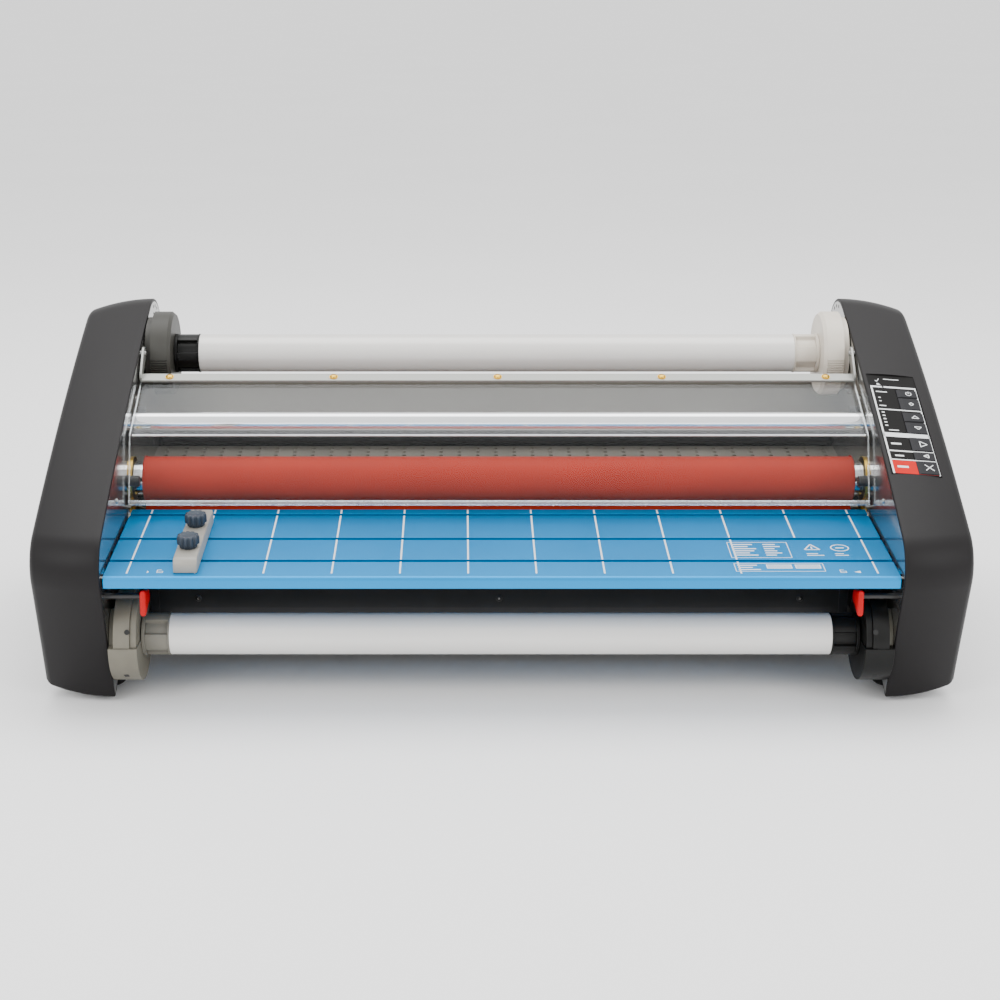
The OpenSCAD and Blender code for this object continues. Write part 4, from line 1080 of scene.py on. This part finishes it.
def patch(u0, u1, v0, v1, high=0.06):
    corners = [on_face(u0, v0, high), on_face(u1, v0, high), on_face(u1, v1, high), on_face(u0, v1, high)]
    return slab(corners, PANEL_N * (-(high + 0.04) * MM))


def panel_print():
    """White frames, the red stop field and plain bars in place of words."""
    edge = 1.7
    top = 134.5
    rows = [(100.0, top), (62.5, 98.2), (35.6, 55.8), (22.2, 33.6), (0.0, 20.6)]
    white = [patch(edge, PANEL_W - 1.2, top, top + 2.4), patch(edge, edge + 1.8, 0.6, top),
             patch(PANEL_W - 2.6, PANEL_W - 1.2, 0.6, top)]
    for v0, v1 in rows[:-1]:
        low_line = {100.0: 1.6, 62.5: 6.4, 35.6: 1.8, 22.2: 1.4}[v0]
        white.append(patch(edge, PANEL_W - 1.2, v0 - low_line, v0))
    for v, w in ((127.5, 11.5), (105.0, 6.8)):
        white.append(patch(6, 6 + w, v - 0.7, v + 0.7))
    for v in (118.0, 112.5):
        white.append(patch(7, 9.4, v - 0.6, v + 0.6))
    for i in range(5):
        white.append(patch(6.5, 9.3, 93.5 - 5.2 * i, 95.2 - 5.2 * i))
    white.append(patch(9, 19, 66.0, 67.3))
    white += [patch(7.4, 17.5, 44.5, 46.9), patch(8.2, 17, 26.6, 28.6)]
    white += [patch(17, 33, 148.2, 149.2), stroke((8.2, 146.0), (9.6, 144.2), 0.7, on_face),
              stroke((9.6, 144.2), (12.4, 149.0), 0.7, on_face)]
    white += [patch(9.0, 11.2, 138.6, 141.4), patch(11.2, 12.4, 138.6, 139.8)]
    piece("panel_white_print", *merge(white), "print_white", "machine", "overlay", smooth=False)
    red = [patch(edge + 1.8, PANEL_W - 2.6, 1.0, 20.4, 0.05)]
    piece("panel_red_field", *merge(red), "print_red", "machine", "overlay", smooth=False)
    piece("panel_stop_bar", *patch(7.6, 18.6, 9.6, 12.4, 0.12), "print_white", "machine", "overlay", smooth=False)
    piece("panel_lamp", *disc(on_face(14.5, top + 1.2, 0.05), PANEL_N, 1.1 * MM, 0.25 * MM, 20), "dark_hole",
          "machine", "overlay")


def icon_ring(u, v, r, a0, a1, place, steps=18, w=0.85):
    points = [(u + r * cos(radians(a0 + (a1 - a0) * i / steps)), v + r * sin(radians(a0 + (a1 - a0) * i / steps)))
              for i in range(steps + 1)]
    return [stroke(points[i], points[i + 1], w, place) for i in range(steps)]


def icon_loop(points, place, w=0.9):
    return [stroke(points[i], points[(i + 1) % len(points)], w, place) for i in range(len(points))]


def panel_button(word, icon):
    """Cap with a sloping left shoulder, on its CAD button's place, with its icon."""
    node = word + "_button"
    c = middle(node)
    rel = c - PANEL_C
    u = rel.dot(PANEL_U) / MM + PANEL_W / 2
    v = rel.dot(PANEL_V) / MM + PANEL_L / 2
    low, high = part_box(node)
    half_u, depth = 10.45, 4.0
    half_v = button_half_length(low, high, depth)
    body = word
    top, base = 0.95, -2.95
    steps = [(base, 0, 0, 0), (0.1, 0, 0, 0), (0.45, 0.5, 0.5, 0.35), (top, 4.2, 0.9, 0.7), (top, 5.0, 1.3, 1.0)]
    rings = [
        [on_face(u - half_u + left, v - half_v + side, n), on_face(u + half_u - right, v - half_v + side, n),
         on_face(u + half_u - right, v + half_v - side, n), on_face(u - half_u + left, v + half_v - side, n)]
        for n, left, right, side in steps
    ]
    piece(node + "_cap", *loft(rings), "button", body, "button", replaces=[node], bevel=0.25, segments=2,
          angle=20)

    def face(a, b, n):
        return on_face(a, b, top + n)

    cu, cv = u + 1.6, v
    piece(node + "_icon", *merge(icon(cu, cv, face)), "print_white", body, "button", smooth=False)


def button_half_length(low, high, depth):
    """Half length up the slope of a tilted block, from its box height and its depth."""
    tilt = math.atan2(PANEL_V.z, PANEL_V.y)
    return ((high.y - low.y) / MM - depth * sin(tilt)) / cos(tilt) / 2 - 0.05


def power_icon(u, v, place):
    return icon_ring(u, v, 2.7, 125, 415, place) + [stroke((u, v), (u, v + 3.3), 0.9, place)]


def mode_icon(u, v, place):
    return icon_loop([(u - 2.3, v), (u, v + 2.3), (u + 2.3, v), (u, v - 2.3)], place)


def up_icon(u, v, place):
    return icon_loop([(u - 3.6, v - 1.8), (u + 3.6, v - 1.8), (u, v + 2.2)], place)


def down_icon(u, v, place):
    return icon_loop([(u - 3.6, v + 1.8), (u + 3.6, v + 1.8), (u, v - 2.2)], place)


def run_icon(u, v, place):
    return icon_loop([(u - 2.8, v + 4.2), (u - 2.8, v - 4.2), (u + 4.2, v)], place, 1.0)


def reverse_icon(u, v, place):
    return icon_loop([(u + 2.2, v + 2.4), (u + 2.2, v - 2.4), (u - 2.6, v)], place, 1.2)


def stop_icon(u, v, place):
    return [stroke((u - 4.2, v - 4.2), (u + 4.2, v + 4.2), 0.9, place),
            stroke((u - 4.2, v + 4.2), (u + 4.2, v - 4.2), 0.9, place)]


def control_panel():
    panel_print()
    for word, icon in (("power", power_icon), ("mode", mode_icon), ("speed_up", up_icon), ("speed_down", down_icon),
                       ("run", run_icon), ("reverse", reverse_icon), ("stop", stop_icon)):
        panel_button(word, icon)


control_panel()


# ---------------------------------------------------------------- CAD nodes that keep their shape
PLAIN_NODES = {
    "left_side_panel": ("panel", 0.2), "right_side_panel": ("panel", 0.2), "base_tray": ("tray", 0.3),
    "back_panel": ("back_panel", 0.3), "rear_cover": ("rear_cover", 0.4), "roller_bearings": ("bearing", 0),
    "heater_rods": ("heater", 0.4), "gear_motor": ("motor", 0.5), "circuit_board": ("board", 0.2),
    "fan_frame": ("fan", 0.4), "fan_rotor": ("fan", 0.2), "power_inlet": ("inlet", 0.3),
    "control_overlay": ("overlay", 0.2), "drive_belt": ("belt", 0.2), "upper_nip_shaft": ("shaft", 0.3),
    "lower_nip_shaft": ("shaft", 0.3), "upper_nip_gear": ("gear", 0.1), "lower_nip_gear": ("gear", 0.1),
    "motor_pinion": ("pinion", 0.1), "nip_pulley": ("pulley", 0.1), "pull_pulley": ("pulley", 0.1),
    "upper_pull_roller": ("pull_roller", 0.4), "lower_pull_roller": ("pull_roller", 0.4),
}
for plain_node, (plain_mat, plain_bevel) in PLAIN_NODES.items():
    finish_node(plain_node, plain_mat, plain_bevel)


# ---------------------------------------------------------------- floor and light
def floor():
    mesh = bpy.data.meshes.new("floor")
    size = 60.0
    mesh.from_pydata([(-size, -size, 0), (size, -size, 0), (size, size, 0), (-size, size, 0)], [], [[0, 1, 2, 3]])
    obj = bpy.data.objects.new("floor", mesh)
    bpy.context.scene.collection.objects.link(obj)
    mesh.materials.append(material("floor", (0.93, 0.93, 0.93), 0.8, vary=0.01, scale=2, bump=0.0))


def area_light(name, place, target, size, power):
    data = bpy.data.lights.new(name, "AREA")
    data.shape = "RECTANGLE"
    data.size, data.size_y = size
    data.energy = power
    obj = bpy.data.objects.new(name, data)
    obj.location = place
    direction = Vector(target) - Vector(place)
    obj.rotation_euler = direction.to_track_quat("-Z", "Y").to_euler()
    bpy.context.scene.collection.objects.link(obj)


def light():
    world = bpy.data.worlds.new("studio")
    world.use_nodes = True
    world.node_tree.nodes["Background"].inputs["Color"].default_value = (1, 1, 1, 1)
    world.node_tree.nodes["Background"].inputs["Strength"].default_value = 1.55
    bpy.context.scene.world = world
    area_light("top", (0.0, 0.3, 2.2), (0, 0, 0.1), (2.6, 1.6), 55)
    area_light("front_left", (-1.8, -2.2, 1.7), (0, 0, 0.15), (1.2, 1.6), 32)
    area_light("front_right", (1.9, -2.0, 1.5), (0, 0, 0.15), (1.0, 1.6), 24)


floor()
light()
